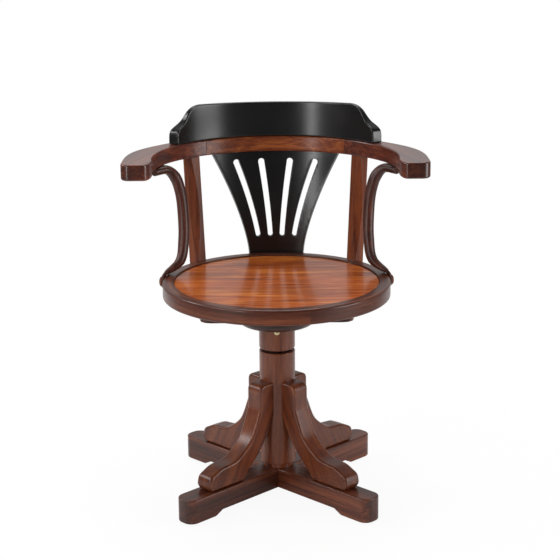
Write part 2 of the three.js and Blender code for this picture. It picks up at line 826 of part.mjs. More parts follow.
// A slot with round ends that follows the splat's flare.
function slotOutline(footShare, topShare, side) {
  const foot = seatTop + slotFootMargin + slotFootWidth / 2;
  const top = bowFoot - slotTopMargin - slotTopWidth / 2;
  const edges = [[], []];
  for (let i = 0; i <= slotSteps; i += 1) {
    const t = i / slotSteps;
    const level = THREE.MathUtils.lerp(foot, top, t);
    const middle = side * splatHalfWidth(level) * THREE.MathUtils.lerp(footShare, topShare, t);
    const half = THREE.MathUtils.lerp(slotFootWidth, slotTopWidth, t) / 2;
    edges[0].push(new THREE.Vector2(middle - half, level));
    edges[1].push(new THREE.Vector2(middle + half, level));
  }
  const cap = (from, to, up) => {
    const middle = from.clone().add(to).divideScalar(2);
    const radius = from.distanceTo(to) / 2;
    const points = [];
    for (let k = 1; k < slotCapSteps; k += 1) {
      const out = new THREE.Vector2(-up * radius, 0);
      points.push(out.rotateAround(new THREE.Vector2(), (-Math.PI * k) / slotCapSteps).add(middle));
    }
    return points;
  };
  const capTop = cap(edges[0].at(-1), edges[1].at(-1), 1);
  const capFoot = cap(edges[1][0], edges[0][0], -1);
  return [...edges[0], ...capTop, ...edges[1].reverse(), ...capFoot];
}

function splat() {
  const right = [new THREE.Vector2(splatFootHalfWidth, splatLevels[0])];
  for (let i = 0; i <= flareSteps; i += 1) {
    const level = THREE.MathUtils.lerp(seatTop, bowFoot - gap, i / flareSteps);
    right.push(new THREE.Vector2(splatHalfWidth(level), level));
  }
  const tongue = splatTopHalfWidth - splatShoulder;
  right.push(new THREE.Vector2(tongue, bowFoot - gap), new THREE.Vector2(tongue, splatLevels[1] + overrun));
  const left = right.map((p) => new THREE.Vector2(-p.x, p.y)).reverse();
  const holes = slotShares.flatMap(([foot, top]) => [-1, 1].map((side) => slotOutline(foot, top, side)));
  const far = splatRadii[1] + splatThickness;
  return splatSlab(0).intersect(board([...right, ...left], 0, far, 0, holes));
}

function splatGroove() {
  const half = splatTopHalfWidth - splatShoulder + gap;
  const far = splatRadii[1] + splatThickness;
  const space = board(rect(-half, half, bowFoot - overrun, bowTop), 0, far, 0);
  return splatSlab(gap).intersect(space);
}

const bowBlank = plate(bowOutline(), bowFoot, bowTop, bowEdgeRound).translate([0, -bowSetForward, 0]);
const armRight = bowBlank.intersect(armSide(gap / 2)).subtract(tenon(gap));
const bowBack = bowBlank
  .subtract(armSide(-gap / 2))
  .subtract(mirrored(armSide(-gap / 2)))
  .subtract(splatGroove());

// Crest rail: a bent board, hollowed behind, whose ends come down in an ogee
function crest() {
  const foot = bowTop + gap;
  const back = crestBackShares.slice(0, -1);
  const topThickness = crestThickness * crestBackShares.at(-1)[1];
  const outline = rounded([
    [bowInnerRadius, foot, crestEdgeRound],
    [bowInnerRadius + crestThickness, foot, crestEdgeRound],
    ...back.map(([up, thick]) => [bowInnerRadius + crestThickness * thick, foot + crestHeight * up, 0]),
    [bowInnerRadius + topThickness, foot + crestHeight, crestTopRound],
    [bowInnerRadius, foot + crestHeight, crestTopRound],
  ]);
  const blankAngle = crestEndAngle + crestSpareAngle;
  const dished = (up, angle) => up * (1 + (crestDish / crestHeight) * (angle / crestTopAngle) ** 2);
  const sections = [];
  for (let i = 0; i <= crestSteps; i += 1) {
    const angle = THREE.MathUtils.lerp(-blankAngle, blankAngle, i / crestSteps);
    const place = (p) => {
      const plan = around(p.x, angle);
      return new THREE.Vector3(plan.x, plan.y, foot + dished(p.y - foot, angle));
    };
    sections.push(outline.map(place));
  }
  const ogee = crestOgeeShares.map(([along, up]) => {
    const angle = THREE.MathUtils.lerp(crestTopAngle, crestEndAngle, along);
    const across = bowInnerRadius * Math.sin(THREE.MathUtils.degToRad(angle - crestEndAngle));
    return new THREE.Vector2(across, foot + dished(crestHeight * up, crestTopAngle));
  });
  const waste = [
    new THREE.Vector2(ogee[0].x - overrun, ogee[0].y + overrun),
    ...new THREE.SplineCurve(ogee).getPoints(ogeeSteps),
    new THREE.Vector2(0, foot - overrun),
    new THREE.Vector2(bowInnerRadius, foot - overrun),
    new THREE.Vector2(bowInnerRadius, ogee[0].y + overrun),
  ];
  const cutter = board(waste, 0, bowInnerRadius * 2, 0).rotate([0, 0, -crestEndAngle]);
  return loft(sections).subtract(cutter).subtract(mirrored(cutter)).translate([0, -bowSetForward, 0]);
}

seat.add(
  piece("bow_back", bowBack, redWalnut),
  piece("arm_right", armRight, walnut),
  piece("arm_left", mirrored(armRight), walnut),
  piece("crest_rail", crest(), black),
  piece("post_right", post(), walnut),
  piece("post_left", mirrored(post()), walnut),
  piece("splat", splat(), black)
);

// Bent arm bracket: a flat foot on the side of the ring, a round bar that bends in and back over
// the seat, and a flattened end under the arm
function bracket() {
  const strapRadius = seatRadius + gap + bracketStrapHalf;
  const footPlan = around(strapRadius, bracketTurn);
  const footLevel = ringFoot + bracketFootMargin;
  const rimOut = ringRound * (1 - Math.SQRT1_2);
  const lift = (bracketRimGap + bracketStrapHalf) * Math.SQRT1_2;
  const rimPlan = around(seatRadius - rimOut + lift, bracketTurn);
  const topPlan = new THREE.Vector2(bowInnerRadius + bracketTopInset, bracketTopBack - bowSetForward);
  const topLevel = bowFoot - gap - bracketTopHalf;
  const strap = bracketStrapHalf;
  const wide = bracketFootHalf;
  const rows = [];
  const row = (plan, level, half, width) => rows.push({ plan, level, half, width });
  for (const [rise, width] of bracketFootShares) {
    row(footPlan, footLevel + wide * rise, strap, wide * width);
  }
  row(footPlan, seatTop - ringRound - gap, strap, wide);
  row(rimPlan, seatTop - rimOut + lift, strap, wide * bracketRimShare);
  for (const [rise, bulge, back, half, width] of bracketShares) {
    const plan = footPlan.clone().lerp(topPlan, rise);
    plan.add(new THREE.Vector2(-bracketBulge * bulge, bracketSetBack * back));
    row(plan, seatTop + armRise * rise, bracketRadius * half, bracketRadius * width);
  }
  const [underBulge, underBack] = bracketUnderShares;
  const turnIn = new THREE.Vector2(-bracketBulge * underBulge, bracketSetBack * underBack);
  const under = topPlan.clone().add(turnIn);
  row(under, topLevel, bracketTopHalf, bracketRadius * bracketTopShare);
  row(topPlan, topLevel, bracketTopHalf, bracketRadius * bracketTopShare);
  const curve = new THREE.CatmullRomCurve3(
    rows.map(({ plan, level }) => new THREE.Vector3(plan.x, plan.y, level)),
    false,
    "centripetal"
  );
  const footSide = around(1, bracketTurn - 90);
  const topSide = topPlan.clone().sub(under).normalize();
  topSide.set(-topSide.y, topSide.x);
  const sections = [];
  for (let i = 0; i <= bracketSteps; i += 1) {
    const t = (i / bracketSteps) * (rows.length - 1);
    const from = rows[Math.min(Math.floor(t), rows.length - 2)];
    const to = rows[rows.indexOf(from) + 1];
    const part = t - rows.indexOf(from);
    const half = THREE.MathUtils.lerp(from.half, to.half, part);
    const width = THREE.MathUtils.lerp(from.width, to.width, part);
    const middle = curve.getPoint(i / bracketSteps);
    const tangent = curve.getTangent(i / bracketSteps);
    const climb = THREE.MathUtils.clamp((middle.z - seatTop) / (topLevel - seatTop), 0, 1);
    const side = footSide.clone().lerp(topSide, climb).normalize();
    const across = new THREE.Vector3(side.x, side.y, 0);
    const normal = across.clone().cross(tangent).normalize();
    const wideWay = tangent.clone().cross(normal).normalize();
    const power = 1 / Math.max(1, Math.min(2, (width / half) * bracketSquareShare));
    const section = [];
    for (let k = 0; k < bracketSides; k += 1) {
      const angle = ((k + 0.5) / bracketSides) * 2 * Math.PI;
      const bend = (v) => Math.sign(v) * Math.abs(v) ** power;
      section.push(
        middle
          .clone()
          .addScaledVector(normal, half * bend(Math.cos(angle)))
          .addScaledVector(wideWay, width * bend(Math.sin(angle)))
      );
    }
    sections.push(section);
  }
  const far = armOuter * 2;
  const armSpace = plate(rect(-far, far, -far, far), bowFoot - gap, bowTop, 0);
  return loft(sections).subtract(armSpace).subtract(bracketBolt(gap));
}

seat.add(
  piece("arm_bracket_right", bracket(), redWalnut),
  piece("arm_bracket_left", mirrored(bracket()), redWalnut),
  piece("bracket_bolt_right", bracketBolt(0), walnut),
  piece("bracket_bolt_left", mirrored(bracketBolt(0)), walnut)
);

// The outline's middle: the seat or the feet reach farthest forward, the bow farthest back.
const footReach = (beamHalf - beamEndRadius + beamWidth / 2 - beamEndRadius) * Math.SQRT1_2 + beamEndRadius;
const bowReach = bowInnerRadius + bowBackWidth - bowSetForward;
chair.position.y = (Math.max(seatRadius, footReach) - bowReach) / 2;

export default chair;
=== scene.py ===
import math
from functools import partial

import bmesh
import bpy
from mathutils import Euler, Matrix, Vector
from mathutils.geometry import interpolate_bezier


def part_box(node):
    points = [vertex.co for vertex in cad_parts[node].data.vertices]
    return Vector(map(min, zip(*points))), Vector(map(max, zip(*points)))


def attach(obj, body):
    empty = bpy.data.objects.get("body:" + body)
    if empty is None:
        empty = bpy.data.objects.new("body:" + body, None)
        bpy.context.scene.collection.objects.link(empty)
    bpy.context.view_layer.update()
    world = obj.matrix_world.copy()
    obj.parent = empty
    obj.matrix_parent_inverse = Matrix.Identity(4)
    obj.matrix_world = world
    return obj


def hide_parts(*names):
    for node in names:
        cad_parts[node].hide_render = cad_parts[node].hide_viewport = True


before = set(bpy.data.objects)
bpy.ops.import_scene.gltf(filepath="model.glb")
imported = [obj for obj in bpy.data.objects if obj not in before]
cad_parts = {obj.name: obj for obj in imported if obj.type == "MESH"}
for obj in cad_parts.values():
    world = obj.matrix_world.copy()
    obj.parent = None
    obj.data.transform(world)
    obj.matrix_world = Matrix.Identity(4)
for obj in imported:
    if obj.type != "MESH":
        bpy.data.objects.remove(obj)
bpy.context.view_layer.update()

# The chair turns about one upright line, the middle of its column.
columnLow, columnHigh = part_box("column")
axis = Vector((0, (columnLow.y + columnHigh.y) / 2, 0))
sideways = Vector((1, 0, 0))
rearward = Vector((0, 1, 0))
upward = Vector((0, 0, 1))

# Sizes that several pieces share, in millimetres
gap = 0.3  # between pieces that meet, as in the CAD
overrun = 5  # how far a cutting shape passes what it cuts
cutReach = 60  # how far it reaches where it only has to be long enough


def boxOf(node):
    # lowest and highest corners of a CAD node, in millimetres about the chair's axis
    low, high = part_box(node)
    return (low - axis) * 1000, (high - axis) * 1000


print("frame loaded")


# Working with meshes. Every piece is made in millimetres about the axis and becomes metres at the end.

def softenEdges(bm, radius, segments=3, chosen=None, angle=30):
    # rounds each edge sharper than the angle
    edges = []
    for edge in bm.edges:
        if edge.is_manifold and edge.calc_face_angle() > math.radians(angle):
            if chosen is None or chosen(edge):
                edges.append(edge)
    bmesh.ops.bevel(bm, geom=edges, offset=radius, segments=segments, profile=0.5, affect="EDGES",
                    clamp_overlap=False, material=-1)


def pushOut(bm, faces, along):
    # moves faces along a direction and leaves walls behind them
    pushed = bmesh.ops.extrude_face_region(bm, geom=faces)["geom"]
    verts = [part for part in pushed if isinstance(part, bmesh.types.BMVert)]
    bmesh.ops.translate(bm, vec=along, verts=verts)
    bmesh.ops.recalc_face_normals(bm, faces=bm.faces)


def slab(corners, along):
    # a flat outline pushed out along a direction
    bm = bmesh.new()
    face = bm.faces.new([bm.verts.new(corner) for corner in corners])
    pushOut(bm, [face], along)
    return bm


def block(low, high):
    # a box between its lowest and highest corners
    corners = [(low[0], low[1]), (high[0], low[1]), (high[0], high[1]), (low[0], high[1])]
    return slab([(x, y, low[2]) for x, y in corners], (0, 0, high[2] - low[2]))


def turned(outline, steps=96):
    # a turned piece about Z; each corner is its radius, its height and how far it is rounded
    bm = bmesh.new()
    verts = [bm.verts.new((radius, 0, height)) for radius, height, _ in outline]
    ends = verts[1:] if outline[0][0] == 0 else verts[1:] + verts[:1]
    edges = [bm.edges.new(pair) for pair in zip(verts, ends)]
    bmesh.ops.spin(bm, geom=verts + edges, cent=(0, 0, 0), axis=upward, angle=2 * math.pi, steps=steps,
                   use_merge=True)
    bmesh.ops.remove_doubles(bm, verts=bm.verts, dist=0.001)
    bmesh.ops.recalc_face_normals(bm, faces=bm.faces)
    for radius, height, rounding in outline:
        if rounding:
            def onCorner(edge):
                return all(abs(math.hypot(v.co.x, v.co.y) - radius) + abs(v.co.z - height) < 0.01
                           for v in edge.verts)
            softenEdges(bm, rounding, segments=5 if rounding > 4 else 3, chosen=onCorner, angle=15)
    return bm


def disc(inner, outer, foot, top, roundings=(0, 0, 0, 0)):
    # a plain disc or ring for turning; the roundings go inner foot, outer foot, outer top, inner top
    return list(zip((inner, outer, outer, inner), (foot, foot, top, top), roundings))


def closeHoles(bm):
    bmesh.ops.holes_fill(bm, edges=[edge for edge in bm.edges if edge.is_boundary], sides=0)


def swept(sections):
    # a skin drawn through a row of sections of as many points, closed at both ends
    bm = bmesh.new()
    ring = [bm.verts.new(point) for point in sections[0]]
    edges = [bm.edges.new(pair) for pair in zip(ring, ring[1:] + ring[:1])]
    for section in sections[1:]:
        order = {vert.co[:]: place for place, vert in enumerate(ring)}
        drawn = bmesh.ops.extrude_edge_only(bm, edges=edges)["geom"]
        edges = [part for part in drawn if isinstance(part, bmesh.types.BMEdge)]
        ring = sorted((part for part in drawn if isinstance(part, bmesh.types.BMVert)),
                      key=lambda vert: order[vert.co[:]])
        for vert, point in zip(ring, section):
            vert.co = point
    closeHoles(bm)
    bmesh.ops.recalc_face_normals(bm, faces=bm.faces)
    return bm


def cutAlong(bm, point, normal):
    # keeps what lies against the normal and closes the cut
    bmesh.ops.bisect_plane(bm, geom=bm.verts[:] + bm.edges[:] + bm.faces[:], dist=0.0001, plane_co=point,
                           plane_no=normal, clear_outer=True)
    closeHoles(bm)


def cutParallel(bm, across, spacing):
    # thin parallel cuts, so that a flat board can be bent
    reach = max(abs(vert.co.dot(across)) for vert in bm.verts)
    for step in range(-int(reach / spacing), int(reach / spacing) + 1):
        bmesh.ops.bisect_plane(bm, geom=bm.verts[:] + bm.edges[:] + bm.faces[:], dist=0.001,
                               plane_co=across * step * spacing, plane_no=across)


def sceneObject(name, data):
    made = bpy.data.objects.new(name, data)
    bpy.context.scene.collection.objects.link(made)
    return made


def meshObject(name, bm):
    # puts the working mesh into the scene
    mesh = bpy.data.meshes.new(name)
    bm.to_mesh(mesh)
    bm.free()
    return sceneObject(name, mesh)


def carved(bm, cutters):
    # takes the cutters' shapes out of a piece
    scratch = [meshObject("scratch", part) for part in [bm] + cutters]
    for cutter in scratch[1:]:
        cut = scratch[0].modifiers.new("cut", "BOOLEAN")
        cut.operation = "DIFFERENCE"
        cut.solver = "EXACT"
        cut.object = cutter
    left = bmesh.new()
    left.from_object(scratch[0], bpy.context.evaluated_depsgraph_get())
    for part in scratch:
        mesh = part.data
        bpy.data.objects.remove(part)
        bpy.data.meshes.remove(mesh)
    bmesh.ops.remove_doubles(left, verts=left.verts, dist=0.001)
    return left


def turnPiece(bm, degrees, about="Z"):
    swing = Matrix.Rotation(math.radians(degrees), 3, about)
    bmesh.ops.rotate(bm, cent=(0, 0, 0), matrix=swing, verts=bm.verts)


def movePiece(bm, x, y, z):
    bmesh.ops.translate(bm, vec=(x, y, z), verts=bm.verts)


def mirrored(bm):
    # the same shape on the other side of the chair
    other = bm.copy()
    bmesh.ops.scale(other, vec=(-1, 1, 1), verts=other.verts)
    bmesh.ops.reverse_faces(other, faces=other.faces)
    return other


def finishPiece(bm, body, node, material, sharp=40, name=None):
    # turns the working mesh into a piece in metres that rides on a body and stands for a CAD node, if any
    bmesh.ops.remove_doubles(bm, verts=bm.verts, dist=0.001)
    bmesh.ops.recalc_face_normals(bm, faces=bm.faces)
    bmesh.ops.scale(bm, vec=(0.001, 0.001, 0.001), verts=bm.verts)
    bmesh.ops.translate(bm, vec=axis, verts=bm.verts)
    piece = meshObject(name or node + "_shown", bm)
    piece.data.shade_smooth()
    piece.data.set_sharp_from_angle(angle=math.radians(sharp))
    piece.data.materials.append(material)
    even = piece.modifiers.new("even shading", "WEIGHTED_NORMAL")
    even.keep_sharp = True
    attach(piece, body)
    if node:
        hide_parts(node)


def finishPair(bm, node, material, leftMaterial=None):
    # a piece of the seat's right side and its mirror image on the left
    other = mirrored(bm)
    finishPiece(bm, "seat", node + "_right", material)
    finishPiece(other, "seat", node + "_left", leftMaterial or material)


def finishCopy(body, node, material, edge):
    # a piece with a CAD node's own shape, its loose triangles merged into flat faces, and rounded edges
    bm = bmesh.new()
    bm.from_mesh(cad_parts[node].data)
    bmesh.ops.translate(bm, vec=-axis, verts=bm.verts)
    bmesh.ops.scale(bm, vec=(1000, 1000, 1000), verts=bm.verts)
    bmesh.ops.remove_doubles(bm, verts=bm.verts, dist=0.01)
    bmesh.ops.dissolve_limit(bm, angle_limit=math.radians(1), verts=bm.verts, edges=bm.edges)
    bmesh.ops.recalc_face_normals(bm, faces=bm.faces)
    softenEdges(bm, edge, segments=2)
    finishPiece(bm, body, node, material)


def between(start, end, share):
    return start + (end - start) * share


def around(radius, degrees, height=0.0):
    # a place at a radius, so many degrees round from the middle of the back
    angle = math.radians(degrees)
    return Vector((radius * math.sin(angle), radius * math.cos(angle), height))


def flowing(points, steps, hold=0.0):
    # a smooth line through points; a hold of 0.5 keeps it closer to short spans
    points = [Vector(point) for point in points]
    spots = [points[0] * 2 - points[1] if hold else points[0], *points,
             points[-1] * 2 - points[-2] if hold else points[-1]]
    line = []
    for before, start, end, after in zip(spots, spots[1:], spots[2:], spots[3:]):
        first, middle, last = (max((b - a).length, 1e-6) ** hold for a, b in
                               ((before, start), (start, end), (end, after)))
        leave = (start - before) / first - (end - before) / (first + middle) + (end - start) / middle
        arrive = (end - start) / middle - (after - start) / (middle + last) + (after - end) / last
        line += interpolate_bezier(start, start + leave * middle / 3, end - arrive * middle / 3, end,
                                   steps + 1)[:-1]
    return line + [points[-1]]


def roundCorner(start, corner, end, steps=8):
    # a soft turn from one point to another, pulled to a corner
    start, corner, end = Vector(start), Vector(corner), Vector(end)
    return interpolate_bezier(start, start.lerp(corner, 2 / 3), end.lerp(corner, 2 / 3), end, steps + 1)


# Materials

def linear(code):
    # an sRGB hex value as the linear colour that nodes take
    parts = [int(code[place:place + 2], 16) / 255 for place in (0, 2, 4)]
    return (*(part / 12.92 if part <= 0.04045 else ((part + 0.055) / 1.055) ** 2.4 for part in parts), 1)


def wire(node, settings=None, links=None):
    # gives a node its settings and incoming links; a linked node stands for its first output
    for key, value in (settings or {}).items():
        if isinstance(key, int) or key in node.inputs:
            node.inputs[key].default_value = value
        else:
            setattr(node, key, value)
    for key, source in (links or {}).items():
        output = source.outputs[0] if isinstance(source, bpy.types.Node) else source
        node.id_data.links.new(output, node.inputs[key])
    return node


def addNode(nodes, kind, settings=None, links=None):
    return wire(nodes.new("ShaderNode" + kind), settings, links)


def newMaterial(name):
    # a new material, what adds a node to it, its shader and the surface's place in Object coordinates
    material = bpy.data.materials.new(name)
    material.use_nodes = True
    nodes = material.node_tree.nodes
    add = partial(addNode, nodes)
    return material, add, nodes["Principled BSDF"], add("TexCoord").outputs["Object"]


def rampStops(node, stops):
    # sets a colour ramp's stops, each a place and a hex colour
    while len(node.color_ramp.elements) < len(stops):
        node.color_ramp.elements.new(0.5)
    for element, (place, code) in zip(node.color_ramp.elements, stops):
        element.position = place
        element.color = linear(code)


def taken(low, high):
    # what a map range node takes in
    return {"From Min": low, "From Max": high}


noiseRange = taken(0.3, 0.7)  # where nearly all of a noise pattern's values lie

# Walnut, sawn and sanded, stained dark and lacquered semi-gloss: brown red with dark streaks along the
# grain and a soft sheen. Plain sizes are millimetres.
walnutFinish = {
    "dark": "2b100a",
    "middle": "5a2718",
    "light": "8a4629",
    "figureLength": 380,
    "figureWidth": 13,
    "fibreLength": 90,
    "fibreWidth": 2.6,
    "fibreShare": 0.3,  # of the fibres in the tone; the broad figure gives the rest
    "poreColour": "200c07",
    "poreLength": 22,
    "poreWidth": 0.9,  # real pores are 0.2 mm wide and would not show, so they are drawn coarser
    "poreRange": (0.56, 0.7),  # noise values at which a pore begins and is full
    "poreAmount": 0.5,
    "patchLength": 300,
    "patchWidth": 150,
    "patchShades": (0.72, 1.2),  # how dark and how light the patches make the tone
    "endGrain": 0.6,
    "endGrainRange": (0.4, 0.95),  # squared cosine between face and fibres where it begins and is full
    "ringRadius": 222,
    "ringTurn": -16,  # degrees; it brings the ring's glued joint to the right of the front
    "roughness": 0.4,
    "roughnessSpread": 0.1,
    "gloss": 0.15,  # little shine from the wood itself; the lacquer over it gives the rest
    "ior": 1.5,
    "coat": 0.6,
    "coatRoughness": 0.24,
    "bump": 0.12,
    "bumpDepth": 0.6,
}


def lacqueredWood(name, grain=(0, 0, 0), ringed=False, **changes):
    # grain turns the fibres away from X, in degrees; ringed makes them follow a ring about the axis
    look = {**walnutFinish, **changes}
    material, add, shader, spot = newMaterial(name)
    if ringed:
        swing = Matrix.Rotation(math.radians(look["ringTurn"]), 3, "Z")
        centred = add("Mapping", {
            "Location": -(swing @ axis), "Rotation": swing.to_euler()}, {"Vector": spot})
        parts = add("SeparateXYZ", None, {"Vector": centred})
        turn = add("Math", {"operation": "ARCTAN2"}, {0: parts.outputs["X"], 1: parts.outputs["Y"]})
        along = add("Math", {"operation": "MULTIPLY", 1: look["ringRadius"] / 1000}, {0: turn})
        flat = add("VectorMath", {"operation": "MULTIPLY", 1: (1, 1, 0)}, {0: centred})
        out = add("VectorMath", {"operation": "LENGTH"}, {0: flat})
        spot = add("CombineXYZ", None, {"X": along, "Y": out.outputs["Value"], "Z": parts.outputs["Z"]})
    turns = [math.radians(turn) for turn in grain]

    def stretched(pattern, **noise):
        length, width = look[pattern + "Length"] / 1000, look[pattern + "Width"] / 1000
        size = add("Mapping", {
            "vector_type": "TEXTURE", "Rotation": turns, "Scale": (length, width, width)}, {"Vector": spot})
        return add("TexNoise", {"Scale": 1.0, **noise}, {"Vector": size})

    figure = stretched("figure", Detail=3, Roughness=0.55, Distortion=0.6)
    fibre = stretched("fibre", Detail=2, Roughness=0.5)
    pores = stretched("pore", Detail=1, Roughness=0.4)
    patch = stretched("patch", Detail=1, Roughness=0.5)
    blend = add("Mix", {"data_type": "FLOAT", "Factor": look["fibreShare"]}, {2: figure, 3: fibre})
    spread = add("MapRange", noiseRange, {"Value": blend})
    tones = add("ValToRGB", None, {"Fac": spread})
    rampStops(tones, [(0.0, look["dark"]), (0.5, look["middle"]), (1.0, look["light"])])
    poreMask = add("MapRange", {**taken(*look["poreRange"]), "To Max": look["poreAmount"]}, {"Value": pores})
    pored = add("Mix", {"data_type": "RGBA", 7: linear(look["poreColour"])}, {0: poreMask, 6: tones})
    darkest, lightest = look["patchShades"]
    shade = add("MapRange", {**noiseRange, "To Min": darkest, "To Max": lightest}, {"Value": patch})
    toned = add("VectorMath", {"operation": "SCALE"}, {0: pored.outputs[2], 3: shade})
    # end grain drinks more stain than the sides, so it is darker and plainer; a ring shows none
    fibreWay = Euler(turns).to_matrix() @ sideways
    outward = add("TexCoord").outputs["Normal"]
    facing = add("VectorMath", {"operation": "DOT_PRODUCT", 1: fibreWay}, {0: outward})
    square = add("Math", {"operation": "POWER", 1: 2.0}, {0: facing.outputs["Value"]})
    ends = add("MapRange", {
        **taken(*look["endGrainRange"]), "To Max": 0 if ringed else look["endGrain"]}, {"Value": square})
    stained = add("Mix", {"data_type": "RGBA", 7: linear(look["dark"])}, {0: ends, 6: toned})
    rough = add("MapRange", {
        **noiseRange, "To Min": look["roughness"] - look["roughnessSpread"] / 2,
        "To Max": look["roughness"] + look["roughnessSpread"] / 2}, {"Value": fibre})
    relief = add("Math", {"operation": "SUBTRACT"}, {0: fibre, 1: poreMask})
    bump = add("Bump", {"Strength": look["bump"], "Distance": look["bumpDepth"] / 1000}, {"Height": relief})
    wire(shader, {
        "IOR": look["ior"], "Specular IOR Level": look["gloss"], "Coat Weight": look["coat"],
        "Coat Roughness": look["coatRoughness"],
    }, {"Base Color": stained.outputs[2], "Roughness": rough, "Normal": bump})
    return material


redder = {"dark": "43190a", "middle": "793a1a", "light": "a35c2c"}
calmer = {"dark": "431b0c", "middle": "673016", "light": "834723", "figureWidth": 20, "coatRoughness": 0.3}
darker = {"dark": "2a120a", "middle": "532717", "light": "774027"}
# the darkest walnut tones, used only for the hub disc under the seat, as painted shade
deep = {"dark": "1d0c07", "middle": "381a11", "light": "52291a"}
walnutX = lacqueredWood("lacqueredWalnutAcross")
walnutY = lacqueredWood("lacqueredWalnutFrontToBack", grain=(0, 0, 90))
walnutZ = lacqueredWood("lacqueredWalnutUpright", grain=(0, 90, 0), **{**calmer, "middle": "72371b"})
# the hub disc's walnut, painted darker than the rest as the shade that falls under the seat
walnutShadedUnderSeat = lacqueredWood("lacqueredWalnutPaintedShade", coatRoughness=0.35, **deep)
walnutRound = lacqueredWood("lacqueredWalnutRing", ringed=True, **darker)
redWalnutX = lacqueredWood("lacqueredRedWalnutAcross", **redder)
bentWalnut = lacqueredWood(
    "lacqueredWalnutBent", grain=(0, 90, 0), endGrain=0.3, coat=0.5, coatRoughness=0.36,
    dark="240f09", middle="452015", light="643424")

# Seat panel: lighter wood, stained honey and lacquered glossy, so that it mirrors the splat at a low angle.
honeyPanel = lacqueredWood(
    "lacqueredHoneyPanel", dark="6d2a0c", middle="ab531d", light="da8539", poreColour="56230e",
    figureLength=170, figureWidth=14, fibreLength=70, fibreWidth=3, poreLength=34, poreWidth=1.3,
    roughness=0.3, roughnessSpread=0.06, coat=0.4, coatRoughness=0.13, bump=0.05)


# Black paint, sprayed on sanded wood: satin, with a faint waviness like orange peel.
def satinPaint():
    material, add, shader, spot = newMaterial("satinBlackPaint")
    peel = add("TexNoise", {"Scale": 330.0, "Detail": 2.0}, {"Vector": spot})  # 3 mm
    cloud = add("TexNoise", {"Scale": 14.0, "Detail": 3.0}, {"Vector": spot})  # 71 mm
    tones = add("ValToRGB", None, {"Fac": cloud})
    rampStops(tones, [(0.3, "08090a"), (0.7, "0f1011")])
    rough = add("MapRange", {**noiseRange, "To Min": 0.24, "To Max": 0.27}, {"Value": cloud})
    bump = add("Bump", {"Strength": 0.06, "Distance": 0.0004}, {"Height": peel})
    wire(shader, {"IOR": 1.6}, {"Base Color": tones, "Roughness": rough, "Normal": bump})
    return material


# Metals, turned on a lathe: fine scratches round the piece, 20 by 0.5 mm, and duller in patches of 17 mm.
def turnedMetal(name, bright, dull, roughness):
    material, add, shader, spot = newMaterial(name)
    lines = add("Mapping", {"vector_type": "TEXTURE", "Scale": (0.02, 0.02, 0.0005)}, {"Vector": spot})
    scratch = add("TexNoise", {"Scale": 1.0, "Detail": 2.0}, {"Vector": lines})
    patch = add("TexNoise", {"Scale": 60.0, "Detail": 3.0}, {"Vector": spot})
    tones = add("ValToRGB", None, {"Fac": patch})
    rampStops(tones, [(0.35, dull), (0.65, bright)])
    rough = add("MapRange", {
        **noiseRange, "To Min": roughness - 0.06, "To Max": roughness + 0.1,
    }, {"Value": scratch})
    bump = add("Bump", {"Strength": 0.1, "Distance": 0.0002}, {"Height": scratch})
    wire(shader, {"Metallic": 1.0}, {"Base Color": tones, "Roughness": rough, "Normal": bump})
    return material


# Felt, pressed wool: dark, dull and a little hairy, with hairs about 1 mm apart.
def pressedFelt():
    material, add, shader, spot = newMaterial("pressedWoolFelt")
    hairs = add("TexNoise", {"Scale": 900.0, "Detail": 4.0, "Distortion": 1.5}, {"Vector": spot})
    tones = add("ValToRGB", None, {"Fac": hairs})
    rampStops(tones, [(0.35, "1c1a19"), (0.7, "3a3633")])
    bump = add("Bump", {"Strength": 0.6, "Distance": 0.0006}, {"Height": hairs})
    wire(shader, {"Roughness": 0.95, "Sheen Weight": 0.3}, {"Base Color": tones, "Normal": bump})
    return material


blackPaint = satinPaint()
turnedSteel = turnedMetal("turnedSteel", "a3a6aa", "77797d", 0.32)
turnedBrass = turnedMetal("turnedBrass", "ecdcb4", "cdb684", 0.4)
# steel for the thrust ring, painted near black as the shade in the narrow notch between column and collar
notchShadeSteel = turnedMetal("notchShadeSteel", "2c2b2b", "191818", 0.4)
woolFelt = pressedFelt()
print("materials made")


# Crossed beams, half lapped, each with a shallow relief underneath
beams = {"length": 544, "width": 49.2, "endRound": 20, "edge": 2.8, "foot": 66.4, "slope": 21,
         "relief": 10.5}
beamLow, beamHigh = boxOf("beam_lower")


def upright(edge):
    return abs(edge.verts[0].co.z - edge.verts[1].co.z) > 1


def beam(notchOnTop):
    half, wide = beams["length"] / 2, beams["width"] / 2
    foot, top = beamLow.z, beamHigh.z
    bm = block((-half, -wide, foot), (half, wide, top))
    softenEdges(bm, beams["endRound"], segments=8, chosen=upright)
    softenEdges(bm, beams["edge"], chosen=lambda edge: not upright(edge))
    sole = half - beams["foot"]
    flat = sole - beams["slope"]
    roof = foot + beams["relief"]
    relief = slab([(x, -cutReach, z) for x, z in (
        (-sole, foot - overrun), (sole, foot - overrun), (sole, foot), (flat, roof), (-flat, roof),
        (-sole, foot))], (0, 2 * cutReach, 0))
    middle = (roof + top) / 2
    low, high = (middle - gap / 2, top + overrun) if notchOnTop else (foot - overrun, middle + gap / 2)
    notch = block((-wide - gap, -cutReach, low), (wide + gap, cutReach, high))
    return carved(bm, [relief, notch])


for place, turn in (("lower", 45), ("upper", -45)):
    bm = beam(place == "lower")
    turnPiece(bm, turn)
    finishPiece(bm, "base", "beam_" + place,
                lacqueredWood("lacqueredWalnutBeam" + place.title(), grain=(0, 0, turn), **darker))
print("beams made")

